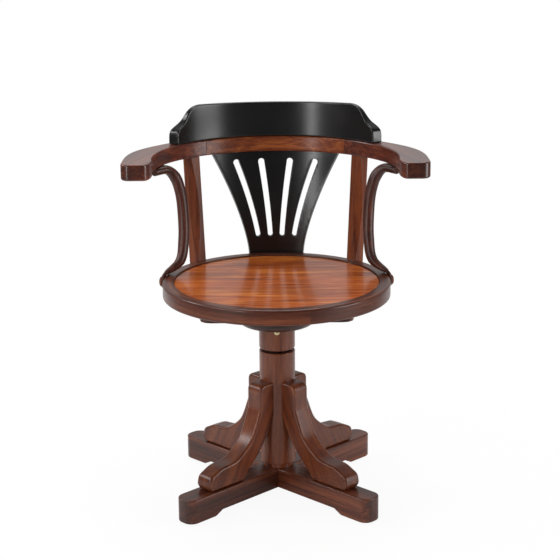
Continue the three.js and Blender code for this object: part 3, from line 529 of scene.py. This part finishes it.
# Four knees, each sawn from a plank and rounded along its edges, and the felt glides under the beams
knees = {
    "thickness": 40.5, "reach": 178, "rise": 191.5, "edge": 5.5, "sink": 8, "crown": 0.076, "toe": 0.965,
    "outer": [(0.178, 0.93), (0.182, 0.75), (0.214, 0.648), (0.326, 0.43), (0.507, 0.288), (0.6, 0.25),
              (0.702, 0.238), (0.8, 0.228), (0.89, 0.195), (0.972, 0.15), (1, 0.062)],
    "inner": [(0.455, 0), (0.367, 0.109), (0.214, 0.238), (0.11, 0.358), (0.03, 0.49), (-0.02, 0.6)],
    "grain": 62, "steps": 7,
}
glideEdges = (0, 1.6, 0.3, 0)
columnFoot, columnTop = boxOf("column")
columnRadius = columnTop.x
kneeFoot = boxOf("knee_front_left")[0].z


def knee():
    def place(share):
        return Vector((columnRadius + knees["reach"] * share[0], 0, kneeFoot + knees["rise"] * share[1]))
    buried = columnRadius - knees["sink"]
    outer = flowing([place(share) for share in knees["outer"]], knees["steps"])
    inner = flowing([place(share) for share in knees["inner"]], knees["steps"])
    crown = roundCorner(place((knees["crown"], 1)), place((knees["outer"][0][0], 1)), outer[0])
    outline = [Vector((buried, 0, crown[0].z)), *crown, *outer[1:], place((knees["toe"], 0)), *inner,
               Vector((buried, 0, inner[-1].z))]
    half = knees["thickness"] / 2
    bm = slab([point - rearward * half for point in outline], rearward * knees["thickness"])
    softenEdges(bm, knees["edge"], segments=4)
    return bm


for number, leg in enumerate(("front_right", "back_right", "back_left", "front_left")):
    turn = 90 * number - 45
    bm = knee()
    turnPiece(bm, turn)
    grain = (0, knees["grain"], turn)
    finishPiece(bm, "base", "knee_" + leg,
                lacqueredWood("lacqueredRedWalnutKnee" + str(number), grain=grain, **calmer))
    low, high = boxOf("glide_" + leg)
    radius = (high.x - low.x) / 2
    bm = turned(disc(0, radius, low.z, high.z, glideEdges), steps=40)
    movePiece(bm, (low.x + high.x) / 2, (low.y + high.y) / 2, 0)
    finishPiece(bm, "base", "glide_" + leg, woolFelt)
print("knees made")

# Turned column with its narrower neck at the foot, bored for the spindle
column = {"neck": 31.2, "neckHeight": 9, "edge": 2.6, "bore": 13.7, "boreEdge": 0.8, "boreRoom": 6}
boreFoot = boxOf("spindle")[0].z - column["boreRoom"]
foot, top = columnFoot.z, columnTop.z
neckTop = foot + column["neckHeight"]
finishPiece(turned([
    (0, foot, 0), (column["neck"], foot, 0), (column["neck"], neckTop, 0),
    (columnRadius, neckTop, column["edge"]), (columnRadius, top, column["edge"]),
    (column["bore"], top, column["boreEdge"]), (column["bore"], boreFoot, 0), (0, boreFoot, 0),
]), "base", "column", walnutZ)

# Thrust ring between column and collar, its steel painted near black as painted shade in the narrow notch,
# and the bolt that pulls the beams up to the column
thrustEdges = (0.4, 0.6, 0.6, 0.4)
low, high = boxOf("thrust_ring")
finishPiece(turned(disc(column["bore"], high.x, low.z, high.z, thrustEdges)),
            "base", "thrust_ring", notchShadeSteel)
boltEdge = 0.4
for node in ("column_bolt", "bolt_washer"):
    finishCopy("base", node, turnedSteel, boltEdge)

# Collar that carries the nut and the lock screw
collar = {"radius": 37.2, "footRound": 3, "topRound": 1.5, "bore": 13.7, "boreEdge": 0.6, "flangeSeat": 28.3,
          "flangeEdge": 0.5, "flangeDepth": 4.3, "nutSeat": 20.3, "nutDepth": 28.3}
screw = {"shank": 4, "tipEdge": 0.6, "head": 5.9, "headHeight": 3.2, "headEdge": 0.3, "headRound": 1.1,
         "slot": 1.3, "slotDepth": 1.6}
low, high = boxOf("collar")
foot, top = low.z, high.z
flangeTop, nutTop = foot + collar["flangeDepth"], foot + collar["nutDepth"]
bm = turned([
    (collar["flangeSeat"], foot, collar["flangeEdge"]), (collar["radius"], foot, collar["footRound"]),
    (collar["radius"], top, collar["topRound"]), (collar["bore"], top, collar["boreEdge"]),
    (collar["bore"], nutTop, 0), (collar["nutSeat"], nutTop, 0),
    (collar["nutSeat"], flangeTop, 0), (collar["flangeSeat"], flangeTop, 0),
])
screwLow, screwHigh = boxOf("lock_screw")
screwLevel = (screwLow.z + screwHigh.z) / 2
holeRadius = screw["shank"] + gap
hole = turned(disc(0, holeRadius, 0, cutReach), steps=48)
turnPiece(hole, 90, "X")
movePiece(hole, 0, 0, screwLevel)
finishPiece(carved(bm, [hole]), "collar", "collar", walnutZ)

# Slotted lock screw, turned upright and then laid down
tip, front = -screwHigh.y, -screwLow.y
under = front - screw["headHeight"]
bm = turned([(0, tip, 0), (screw["shank"], tip, screw["tipEdge"]), (screw["shank"], under, 0),
             (screw["head"], under, screw["headEdge"]), (screw["head"], front, screw["headRound"]),
             (0, front, 0)], steps=64)
turnPiece(bm, 90, "X")
half, reach = screw["slot"] / 2, screw["head"] + overrun
bm = carved(bm, [block((-reach, -front - overrun, -half), (reach, screw["slotDepth"] - front, half))])
movePiece(bm, 0, 0, screwLevel)
finishPiece(bm, "lock_screw", "lock_screw", turnedBrass)
finishCopy("collar", "spindle_nut", turnedSteel, boltEdge)
print("column and collar made")

# Screw spindle with its real thread of 8 mm a turn
spindle = {"pitch": 8, "root": 11.1, "crest": 2.7, "flank": 1.3, "facets": 40}
low, high = boxOf("spindle")
radius = high.x
root, pitch = spindle["root"], spindle["pitch"]
crestEnd, rootStart = spindle["crest"], spindle["crest"] + spindle["flank"]
turns = math.ceil((high.z - low.z) / pitch) + 2
bm = bmesh.new()
rootEnd = pitch - spindle["flank"]
line = [(radius, 0), (radius, crestEnd), (root, rootStart), (root, rootEnd), (radius, pitch)]
verts = [bm.verts.new((out, 0, low.z - pitch + up)) for out, up in line]
edges = [bm.edges.new(pair) for pair in zip(verts, verts[1:])]
bmesh.ops.spin(bm, geom=verts + edges, cent=(0, 0, 0), axis=upward, angle=2 * math.pi * turns,
               dvec=(0, 0, pitch / spindle["facets"]), steps=turns * spindle["facets"])
bmesh.ops.remove_doubles(bm, verts=bm.verts, dist=0.01)
cutAlong(bm, (0, 0, low.z), -upward)
cutAlong(bm, (0, 0, high.z), upward)
finishPiece(bm, "spindle", "spindle", turnedSteel, sharp=50)

# Hub disc, plate, bearer and battens under the seat; the hub disc's walnut is painted dark as painted shade
# from the seat above it
hub = {"bore": 12.8, "edges": (0.5, 11, 1.6, 0)}
low, high = boxOf("hub_disc")
finishPiece(turned(disc(hub["bore"], high.x, low.z, high.z, hub["edges"]), steps=128),
            "seat", "hub_disc", walnutShadedUnderSeat)
plateEdge, woodEdge = 0.5, 1.0
finishCopy("seat", "spindle_plate", turnedSteel, plateEdge)
for node, material in (("cross_bearer", walnutX), ("batten_right", walnutY), ("batten_left", walnutY)):
    finishCopy("seat", node, material, woodEdge)

# Countersunk wood screws that hold the battens to the ring and the bearer to the battens
woodScrew = {"head": 4, "headHeight": 2.4, "headEdge": 0.2, "shank": 1.9, "length": 14, "slot": 0.9,
             "slotDepth": 1.1, "proud": 0.2, "outerInset": 16, "innerInset": 34, "bearerInset": 14}


def slottedScrew(x, y, woodFoot):
    foot = woodFoot - woodScrew["proud"]
    neck, tip = foot + woodScrew["headHeight"], foot + woodScrew["length"]
    bm = turned([(0, foot, 0), (woodScrew["head"], foot, woodScrew["headEdge"]),
                 (woodScrew["shank"], neck, 0), (woodScrew["shank"], tip, 0), (0, tip, 0)], steps=24)
    half, reach = woodScrew["slot"] / 2, woodScrew["head"] + overrun
    bm = carved(bm, [block((-reach, -half, foot - overrun), (reach, half, foot + woodScrew["slotDepth"]))])
    turnPiece(bm, math.degrees(x * y))  # every slot came to rest at an angle of its own
    movePiece(bm, x, y, 0)
    return bm


bearerLow, bearerHigh = boxOf("cross_bearer")
outer, inner, onBearer = woodScrew["outerInset"], woodScrew["innerInset"], woodScrew["bearerInset"]
for side in ("right", "left"):
    low, high = boxOf("batten_" + side)
    middle = (low.x + high.x) / 2
    for wood, woodFoot, places in (
        ("batten", low.z, (low.y + outer, low.y + inner, high.y - inner, high.y - outer)),
        ("bearer", bearerLow.z, (bearerLow.y + onBearer, bearerHigh.y - onBearer)),
    ):
        for number, y in enumerate(places):
            finishPiece(slottedScrew(middle, y, woodFoot), "seat", None, turnedSteel,
                        name=wood + "_screw_" + side + str(number))

# Seat ring with its rebate, and the panel let into it
ring = {"inner": 211, "ledge": 203, "ledgeEdge": 1.5, "topRound": 4.5, "underRound": 3, "innerRound": 1.8,
        "panelEdge": 1.5, "facets": 192}
ringLow, ringHigh = boxOf("seat_ring")
panelLow, panelHigh = boxOf("seat_panel")
seatTop = ringHigh.z
seatRadius = ringHigh.x
finishPiece(turned([
    (ring["ledge"], ringLow.z, ring["ledgeEdge"]), (seatRadius, ringLow.z, ring["underRound"]),
    (seatRadius, seatTop, ring["topRound"]), (ring["inner"], seatTop, ring["innerRound"]),
    (ring["inner"], panelLow.z - gap, 0), (ring["ledge"], panelLow.z - gap, 0),
], ring["facets"]), "seat", "seat_ring", walnutRound)
finishPiece(turned(disc(0, panelHigh.x, panelLow.z, panelHigh.z, (0, 0, ring["panelEdge"], 0)),
                   ring["facets"]), "seat", "seat_panel", honeyPanel)
print("seat made")

# Bow: one outline in plan, cut into a back piece and two arms
bow = {
    "inner": 248, "ahead": 12, "backWidth": 35, "armWidth": 58, "tuck": 2.5, "forward": 76,
    "tipInnerEase": 48, "tipInnerRound": 16, "tipOuterEase": 26, "tipOuterRound": 19, "edge": 3.6,
    "blend": 45, "lift": 53, "sweep": 145, "joint": 36.3, "jointEdge": 0.4,
    "degreeStep": 3, "sweepSteps": 30,
}
bowLow, bowHigh = boxOf("bow_back")
bowCentre = Vector((0, -bow["ahead"], 0))


def bowSide():
    # right half of the outline, from the middle of the inner curve round the arm to the middle of the back
    inner, outer, tip = bow["inner"], bow["inner"] + bow["armWidth"], -bow["forward"]
    back, step = inner + bow["backWidth"], bow["degreeStep"]
    side = [around(inner, degrees) for degrees in range(0, 91, step)]
    edge = inner - bow["tuck"]
    side += roundCorner((edge, bow["tipInnerEase"] + tip, 0), (edge, tip, 0),
                        (edge + bow["tipInnerRound"], tip, 0))
    side += roundCorner((outer - bow["tipOuterRound"], tip, 0), (outer, tip, 0),
                        (outer, tip + bow["tipOuterEase"], 0))
    meet = around(back, bow["blend"])
    pull = meet + around(bow["sweep"], bow["blend"] + 90)
    side += interpolate_bezier(side[-1], Vector((outer, bow["lift"], 0)), pull, meet, bow["sweepSteps"])[1:]
    return side + [around(back, degrees) for degrees in range(bow["blend"] - step, -1, -step)]


def bowBlank():
    side = bowSide()
    left = [Vector((-point.x, point.y, 0)) for point in side[1:-1]]
    outline = [point + bowCentre + upward * bowLow.z for point in side + left[::-1]]
    bm = slab(outline, (0, 0, bowHigh.z - bowLow.z))
    softenEdges(bm, bow["edge"], segments=4)
    return bm


rightJoint = around(1, bow["joint"] + 90)
jointLines = rightJoint, Vector((-rightJoint.x, rightJoint.y, 0))


def onJoint(edge):
    # whether an edge lies round a joint's cut face
    return all(min(abs(abs((v.co - bowCentre).dot(line)) - gap / 2) for line in jointLines) < 0.02
               for v in edge.verts)


bm = bowBlank()
for line in jointLines:
    cutAlong(bm, bowCentre - line * gap / 2, line)
softenEdges(bm, bow["jointEdge"], segments=1, chosen=onJoint, angle=60)
finishPiece(bm, "seat", "bow_back", redWalnutX)
bm = bowBlank()
cutAlong(bm, bowCentre + rightJoint * gap / 2, -rightJoint)
softenEdges(bm, bow["jointEdge"], segments=1, chosen=onJoint, angle=60)
finishPair(bm, "arm", lacqueredWood("lacqueredWalnutArmRight", grain=(0, 0, 108), coat=1.0),
           lacqueredWood("lacqueredWalnutArmLeft", grain=(0, 0, 72), coat=1.0))
print("bow made")

# Crest rail: a flat board with ogee ends, hollowed behind, then bent to the bow's curve
crest = {
    "thickness": 25, "height": 74.2, "dish": 3.4, "topAngle": 39.5, "endAngle": 55.2, "edge": 2.4,
    "topEdge": 2.8, "layer": 4, "bendStep": 1.5,
    "back": [(0, 1), (0.39, 0.96), (0.58, 0.71), (0.76, 0.52), (1, 0.36)],
    "ogee": [(0, 1), (0.13, 0.985), (0.27, 0.945), (0.39, 0.875), (0.475, 0.79), (0.54, 0.7), (0.61, 0.61),
             (0.7, 0.53), (0.81, 0.46), (0.92, 0.39), (0.98, 0.31), (1, 0.2)],
}
crestFoot = boxOf("crest_rail")[0].z


def crestBoard():
    perDegree = bow["inner"] * math.pi / 180
    begin, end = crest["topAngle"] * perDegree, crest["endAngle"] * perDegree
    half = flowing([(between(begin, end, along), 0, crest["height"] * up)
                    for along, up in crest["ogee"]], steps=3)
    half.append(Vector((end, 0, 0)))
    bm = slab([Vector((-point.x, 0, point.z)) for point in reversed(half)] + half, rearward)
    cutParallel(bm, upward, crest["layer"])
    hollow = flowing([(up, thick, 0) for up, thick in crest["back"]], steps=12)
    for vert in bm.verts:
        if vert.co.y > 0.5:
            share = min(vert.co.z / crest["height"], 1)
            low, high = next((pair for pair in zip(hollow, hollow[1:]) if pair[1].x >= share), hollow[-2:])
            vert.co.y = crest["thickness"] * low.lerp(high, (share - low.x) / (high.x - low.x)).y
    softenEdges(bm, crest["topEdge"], segments=4, angle=50,
                chosen=lambda edge: max(v.co.z for v in edge.verts) > 1)
    softenEdges(bm, crest["edge"], angle=50)
    cutParallel(bm, sideways, perDegree * crest["bendStep"])
    bm.normal_update()
    for vert in bm.verts:
        if all(face.normal.y < -0.95 for face in vert.link_faces):
            vert.co.y = 0  # the bevels drag the long cuts a little out of the flat front
        angle = vert.co.x / perDegree
        dished = 1 + crest["dish"] / crest["height"] * min(1, abs(angle) / crest["topAngle"]) ** 2
        vert.co = around(bow["inner"] + vert.co.y, angle, crestFoot + vert.co.z * dished) + bowCentre
    return bm


finishPiece(crestBoard(), "seat", "crest_rail", blackPaint)

# Posts from the ring's back edge up into the bow: square at both ends, with one long lens-shaped chamfer
post = {"width": 26, "depth": 27, "edge": 2.6, "chamferEdge": 0.7, "notch": 6.5, "footLift": 1.5,
        "seatAngle": 44.8, "topAngle": 42.6, "chamferEnd": 1.6, "chamferMiddle": 15.5, "stations": 28}
bowFoot = bowLow.z
bowUnder = bowFoot - gap


def postBlank():
    middleRadius = seatRadius - post["notch"] + post["depth"] / 2
    low = around(middleRadius, post["seatAngle"])
    high = around(bow["inner"] + bow["backWidth"] / 2, post["topAngle"]) + bowCentre
    foot = ringLow.z + post["footLift"]
    deep, wide = post["depth"] / 2, post["width"] / 2
    sections = []
    for station in range(post["stations"] + 1):
        level = foot + (bowUnder - foot) * station / post["stations"]
        climb = (level - seatTop) / (bowFoot - seatTop)
        middle = low.lerp(high, climb)
        angle = between(post["seatAngle"], post["topAngle"], climb)
        lens = math.sin(math.pi * min(max(climb, 0), 1))
        cut = between(post["chamferEnd"], post["chamferMiddle"], lens)
        corners = [(-deep, -wide), (-deep, wide - cut), (cut - deep, wide), (deep, wide), (deep, -wide)]
        sections.append([around(out, angle) + around(side, angle + 90) + middle + upward * level
                         for out, side in corners])
    bm = swept(sections)

    def spot(point):
        return tuple(round(part, 2) for part in point)
    lines = [{spot(section[corner]) for section in sections} for corner in (0, 3, 4)]
    softenEdges(bm, post["edge"], chosen=lambda edge: any(
        all(spot(v.co) in line for v in edge.verts) for line in lines))
    softenEdges(bm, post["chamferEdge"], segments=2, angle=20)
    return bm


finishPair(postBlank(), "post", walnutZ)
print("crest and posts made")

# Splat: a flat board with four slots, bent so that it leans back from the ring to the bow
splat = {
    "thickness": 11, "topHalf": 137, "footHalf": 59.5, "flare": 1.4, "shoulder": 7, "edge": 1.1,
    "slotTopWidth": 13.5, "slotFootWidth": 10.3, "slotTopMargin": 17, "slotFootMargin": 35,
    "slots": [(0.195, 0.25), (0.602, 0.684)],
    "sideSteps": 18, "slotSteps": 12, "capSteps": 10, "bendStep": 5,
}
splatLow, splatHigh = boxOf("splat")


def splatHalf(level):
    climb = min(max((level - seatTop) / (bowFoot - seatTop), 0), 1)
    return between(splat["footHalf"], splat["topHalf"], climb ** splat["flare"])


def slotOutline(footShare, topShare, side):
    foot = seatTop + splat["slotFootMargin"] + splat["slotFootWidth"] / 2
    top = bowFoot - splat["slotTopMargin"] - splat["slotTopWidth"] / 2
    left, right = [], []
    for step in range(splat["slotSteps"] + 1):
        share = step / splat["slotSteps"]
        level = between(foot, top, share)
        middle = side * splatHalf(level) * between(footShare, topShare, share)
        half = between(splat["slotFootWidth"], splat["slotTopWidth"], share) / 2
        left.append(Vector((middle - half, 0, level)))
        right.append(Vector((middle + half, 0, level)))

    def cap(start, end):
        middle, steps = (start + end) / 2, splat["capSteps"]
        return [middle + Matrix.Rotation(math.radians(180 * step / steps), 3, "Y") @ (start - middle)
                for step in range(1, steps)]
    return left + cap(left[-1], right[-1]) + right[::-1] + cap(right[0], left[0])


def splatBoard():
    right = [Vector((splat["footHalf"], 0, splatLow.z))]
    for step in range(splat["sideSteps"] + 1):
        level = seatTop + (bowUnder - seatTop) * step / splat["sideSteps"]
        right.append(Vector((splatHalf(level), 0, level)))
    tongue = splat["topHalf"] - splat["shoulder"]
    right += [Vector((tongue, 0, bowUnder)), Vector((tongue, 0, splatHigh.z))]
    outline = right + [Vector((-point.x, 0, point.z)) for point in reversed(right)]
    loops = [outline] + [slotOutline(foot, top, side) for foot, top in splat["slots"] for side in (-1, 1)]
    bm = bmesh.new()
    for loop in loops:
        verts = [bm.verts.new(point - rearward * splat["thickness"] / 2) for point in loop]
        for pair in zip(verts, verts[1:] + verts[:1]):
            bm.edges.new(pair)
    bmesh.ops.triangle_fill(bm, edges=bm.edges, use_beauty=True, use_dissolve=False)
    bmesh.ops.recalc_face_normals(bm, faces=bm.faces)
    pushOut(bm, bm.faces[:], rearward * splat["thickness"])
    softenEdges(bm, splat["edge"], segments=2, angle=40)
    cutParallel(bm, sideways, splat["bendStep"])
    lowRadius = seatRadius + gap + splat["thickness"] / 2
    highRadius = bow["inner"] + bow["backWidth"] / 2
    for vert in bm.verts:
        climb = (vert.co.z - splatLow.z) / (splatHigh.z - splatLow.z)
        radius = between(lowRadius, highRadius, climb)
        angle = math.degrees(math.asin(vert.co.x / radius))
        vert.co = around(radius + vert.co.y, angle, vert.co.z) + bowCentre * climb
    return bm


finishPiece(splatBoard(), "seat", "splat", blackPaint, sharp=35)
print("splat made")

# Bent arm brackets: a flat foot on the ring, a round bar that bends in over the seat, a flat end under
# the arm. Each row of the foot is a rise and a width; each row of the bar is a rise, how far it bulges
# and sets back, and its two half widths, all shares of the sizes above them.
bracket = {
    "radius": 11, "strap": 3.7, "footHalf": 13, "rimGap": 0.8, "footMargin": 4.5, "angle": 10.2,
    "bulge": 50, "setBack": 35, "topInset": 3, "topBack": 75, "topHalf": 9.5, "edge": 0.6,
    "rimShare": 0.95, "topShare": 1.1, "squareShare": 0.62, "underShares": (0.52, 0.55),
    "footShares": [(0, 0.5), (0.25, 0.86), (0.6, 1)],
    "barShares": [(0.113, 0.7, 0.38, 0.95, 1.2), (0.293, 0.915, 0.67, 1.05, 1.12),
                  (0.505, 0.985, 0.89, 1.05, 1.05), (0.734, 0.965, 0.87, 1.08, 1),
                  (0.887, 0.8, 0.72, 1.12, 1.05)],
    "steps": 7, "sides": 20,
}


def bracketRows():
    # from foot to arm: places in plan with their level, half thickness and half width
    turn = 90 - bracket["angle"]
    strap, wide, radius = bracket["strap"], bracket["footHalf"], bracket["radius"]
    footPlan = around(seatRadius + gap + strap, turn)
    topPlan = Vector((bow["inner"] + bracket["topInset"], bracket["topBack"] - bow["ahead"], 0))

    def aside(bulge, back):
        return Vector((-bracket["bulge"] * bulge, bracket["setBack"] * back, 0))
    rimOut = ring["topRound"] * (1 - math.sqrt(0.5))
    lift = (bracket["rimGap"] + strap) * math.sqrt(0.5)
    rows = [(footPlan, ringLow.z + bracket["footMargin"] + wide * rise, strap, wide * width)
            for rise, width in bracket["footShares"]]
    rows.append((footPlan, seatTop - ring["topRound"] - gap, strap, wide))
    rows.append((around(seatRadius - rimOut + lift, turn), seatTop - rimOut + lift, strap,
                 wide * bracket["rimShare"]))
    for rise, bulge, back, half, width in bracket["barShares"]:
        rows.append((footPlan.lerp(topPlan, rise) + aside(bulge, back), between(seatTop, bowFoot, rise),
                     radius * half, radius * width))
    for plan in (topPlan + aside(*bracket["underShares"]), topPlan):
        rows.append((plan, bowUnder - bracket["topHalf"], bracket["topHalf"], radius * bracket["topShare"]))
    return rows


def bracketBar():
    rows = bracketRows()
    line = flowing([plan + upward * level for plan, level, _, _ in rows], bracket["steps"], hold=0.5)
    footSide = around(1, -bracket["angle"])
    topWay = (rows[-1][0] - rows[-2][0]).normalized()
    topSide = Vector((-topWay.y, topWay.x, 0))
    topLevel = rows[-1][1]
    sections = []
    for place, middle in enumerate(line):
        row = min(place // bracket["steps"], len(rows) - 2)
        share = place / bracket["steps"] - row
        half, width = (between(rows[row][part], rows[row + 1][part], share) for part in (2, 3))
        before, after = line[max(place - 1, 0)], line[min(place + 1, len(line) - 1)]
        heading = (after - before).normalized()
        climb = min(max((middle.z - seatTop) / (topLevel - seatTop), 0), 1)
        across = footSide.lerp(topSide, climb).normalized()
        normal = across.cross(heading).normalized()
        wideWay = heading.cross(normal).normalized()
        power = 1 / max(1, min(2, width / half * bracket["squareShare"]))  # the flatter, the squarer
        section = []
        for side in range(bracket["sides"]):
            angle = 2 * math.pi * (side + 0.5) / bracket["sides"]
            out, over = (math.copysign(abs(part) ** power, part)
                         for part in (math.cos(angle), math.sin(angle)))
            section.append(middle + normal * half * out + wideWay * width * over)
        sections.append(section)
    bm = swept(sections)
    cutAlong(bm, (0, 0, bowUnder), upward)
    softenEdges(bm, bracket["edge"], segments=2, angle=50)
    return bm


finishPair(bracketBar(), "arm_bracket", bentWalnut)

# Domed bolts through the brackets' feet
dome = {"shank": 4, "tipEdge": 0.5, "length": 25, "head": 10.5, "headEdge": 0.3, "height": 6, "rim": 1.4,
        "shoulder": 4.2, "crown": 5.6, "drop": 14}


def domedBolt():
    under = seatRadius + 2 * gap + 2 * bracket["strap"]
    tip = under - dome["length"]
    curve = interpolate_bezier(*(Vector((out, 0, up)) for out, up in (
        (dome["head"], dome["rim"]), (dome["head"], dome["shoulder"]), (dome["crown"], dome["height"]),
        (0, dome["height"]))), 10)
    bm = turned([(0, tip, 0), (dome["shank"], tip, dome["tipEdge"]), (dome["shank"], under, 0),
                 (dome["head"], under, dome["headEdge"]),
                 *((point.x, under + point.z, 0) for point in curve[:-1]),
                 (0, under + dome["height"], 0)], steps=48)
    turnPiece(bm, 90, "Y")
    turnPiece(bm, bracket["angle"])
    movePiece(bm, 0, 0, seatTop - dome["drop"])
    return bm


finishPair(domedBolt(), "bracket_bolt", walnutZ)
print("brackets made")

# Floor: a sheet of pale paper on a dark studio floor, all white to the camera but for the chair's shadow.
# Its sides and front fade between two places, in metres from the middle. Lacquer mirrors little of its
# white, so that it stays clear.
paper = {"colour": "f2f2f2", "ground": "404040", "roughness": 0.9, "side": (1.5, 1.3),
         "front": (-1.35, -1.1), "shadowReach": (0.35, 1.0), "nearWhite": 0.93, "mirrored": 0.12}


def paperFloor():
    material, add, shader, spot = newMaterial("paleStudioPaper")
    parts = add("SeparateXYZ", None, {"Vector": spot})
    aside = add("Math", {"operation": "ABSOLUTE"}, {0: parts.outputs["X"]})
    within = add("MapRange", taken(*paper["side"]), {"Value": aside})
    behind = add("MapRange", taken(*paper["front"]), {"Value": parts.outputs["Y"]})
    sheet = add("Math", {"operation": "MULTIPLY"}, {0: within, 1: behind})
    colour = add("Mix", {
        "data_type": "RGBA", 6: linear(paper["ground"]), 7: linear(paper["colour"])}, {0: sheet})
    reach = add("VectorMath", {"operation": "LENGTH"}, {0: spot})
    white = add("MapRange", {**taken(*paper["shadowReach"]), "To Min": paper["nearWhite"]},
                {"Value": reach.outputs["Value"]})
    path = add("LightPath")
    faint = add("Math", {"operation": "MULTIPLY", 1: paper["mirrored"]}, {0: path.outputs["Is Glossy Ray"]})
    clear = add("Math", {"operation": "MAXIMUM"},
                {0: path.outputs["Is Camera Ray"], 1: path.outputs["Is Transmission Ray"]})
    either = add("Math", {"operation": "MAXIMUM"}, {0: clear, 1: faint})
    seen = add("Math", {"operation": "MULTIPLY"}, {0: white, 1: either})
    glow = add("Emission", {"Strength": 1.0})
    mixed = add("MixShader", None, {0: seen, 1: shader, 2: glow})
    wire(shader, {"Roughness": paper["roughness"], "Specular IOR Level": 0.0},
         {"Base Color": colour.outputs[2]})
    wire(material.node_tree.nodes["Material Output"], None, {"Surface": mixed})
    return material


bm = bmesh.new()
bmesh.ops.create_grid(bm, x_segments=1, y_segments=1, size=14)
floor = meshObject("floor", bm)
floor.data.materials.append(paperFloor())

# World: white where it is seen, a pale wall behind and a darker room in front where it is mirrored
room = {"wallRange": (0.1, 0.8), "front": 0.05, "wall": 0.5, "onObject": 0.36}
world = bpy.data.worlds.new("studio")
bpy.context.scene.world = world
world.use_nodes = True
nodes = world.node_tree.nodes
add = partial(addNode, nodes)
path = add("LightPath")
heading = add("TexCoord").outputs["Generated"]
parts = add("SeparateXYZ", None, {"Vector": heading})
wall = add("MapRange", {
    **taken(*room["wallRange"]), "To Min": room["front"], "To Max": room["wall"],
}, {"Value": parts.outputs["Y"]})
light = add("Mix", {"data_type": "FLOAT", 2: room["onObject"]}, {0: path.outputs["Is Glossy Ray"], 3: wall})
clear = add("Math", {"operation": "MAXIMUM"},
            {0: path.outputs["Is Camera Ray"], 1: path.outputs["Is Transmission Ray"]})
level = add("Mix", {"data_type": "FLOAT", 3: 1.0}, {0: clear, 2: light})
wire(nodes["Background"], {"Color": (1, 1, 1, 1)}, {"Strength": level})

# Lamps: soft boxes at both sides in front, at the left and overhead, and one narrow strip in front
lamps = {
    "leftBox": {"place": (-2.4, -1.5, 1.7), "size": (0.9, 1.6), "power": 21},
    "rightBox": {"place": (2.4, -0.85, 0.8), "size": (1.3, 1.6), "power": 33},
    "sideBox": {"place": (-2.5, 0.3, 1.85), "size": (0.9, 1.1), "power": 26},
    "frontStrip": {"place": (-1.7, -2.3, 0.85), "size": (0.26, 1.5), "power": 17},
    "topBox": {"place": (0, 0.7, 2.8), "size": (1.8, 1.4), "power": 36},
}
lampAim = Vector((0, 0, 0.4))
for name, lamp in lamps.items():
    light = bpy.data.lights.new(name, "AREA")
    light.shape = "RECTANGLE"
    light.size, light.size_y = lamp["size"]
    light.energy = lamp["power"]
    box = sceneObject(name, light)
    box.location = lamp["place"]
    box.rotation_euler = (lampAim - Vector(lamp["place"])).to_track_quat("-Z", "Y").to_euler()

# Camera at the photograph's place, with its very small roll
cameraPlace = {"place": (0, -3.0545, 1.2705), "down": 14.99, "roll": -0.5, "lens": 98.31, "shift": 0.0062}
lens = bpy.data.cameras.new("camera")
lens.sensor_fit = "AUTO"
lens.sensor_width = 36
lens.lens = cameraPlace["lens"]
lens.shift_x = cameraPlace["shift"]
camera = sceneObject("camera", lens)
look = Matrix.Rotation(math.radians(90 - cameraPlace["down"]), 4, "X")
tilt = Matrix.Rotation(math.radians(cameraPlace["roll"]), 4, "Z")
camera.matrix_world = Matrix.Translation(cameraPlace["place"]) @ look @ tilt
bpy.context.scene.camera = camera
bpy.context.scene.view_settings.view_transform = "Standard"
print("stage set")
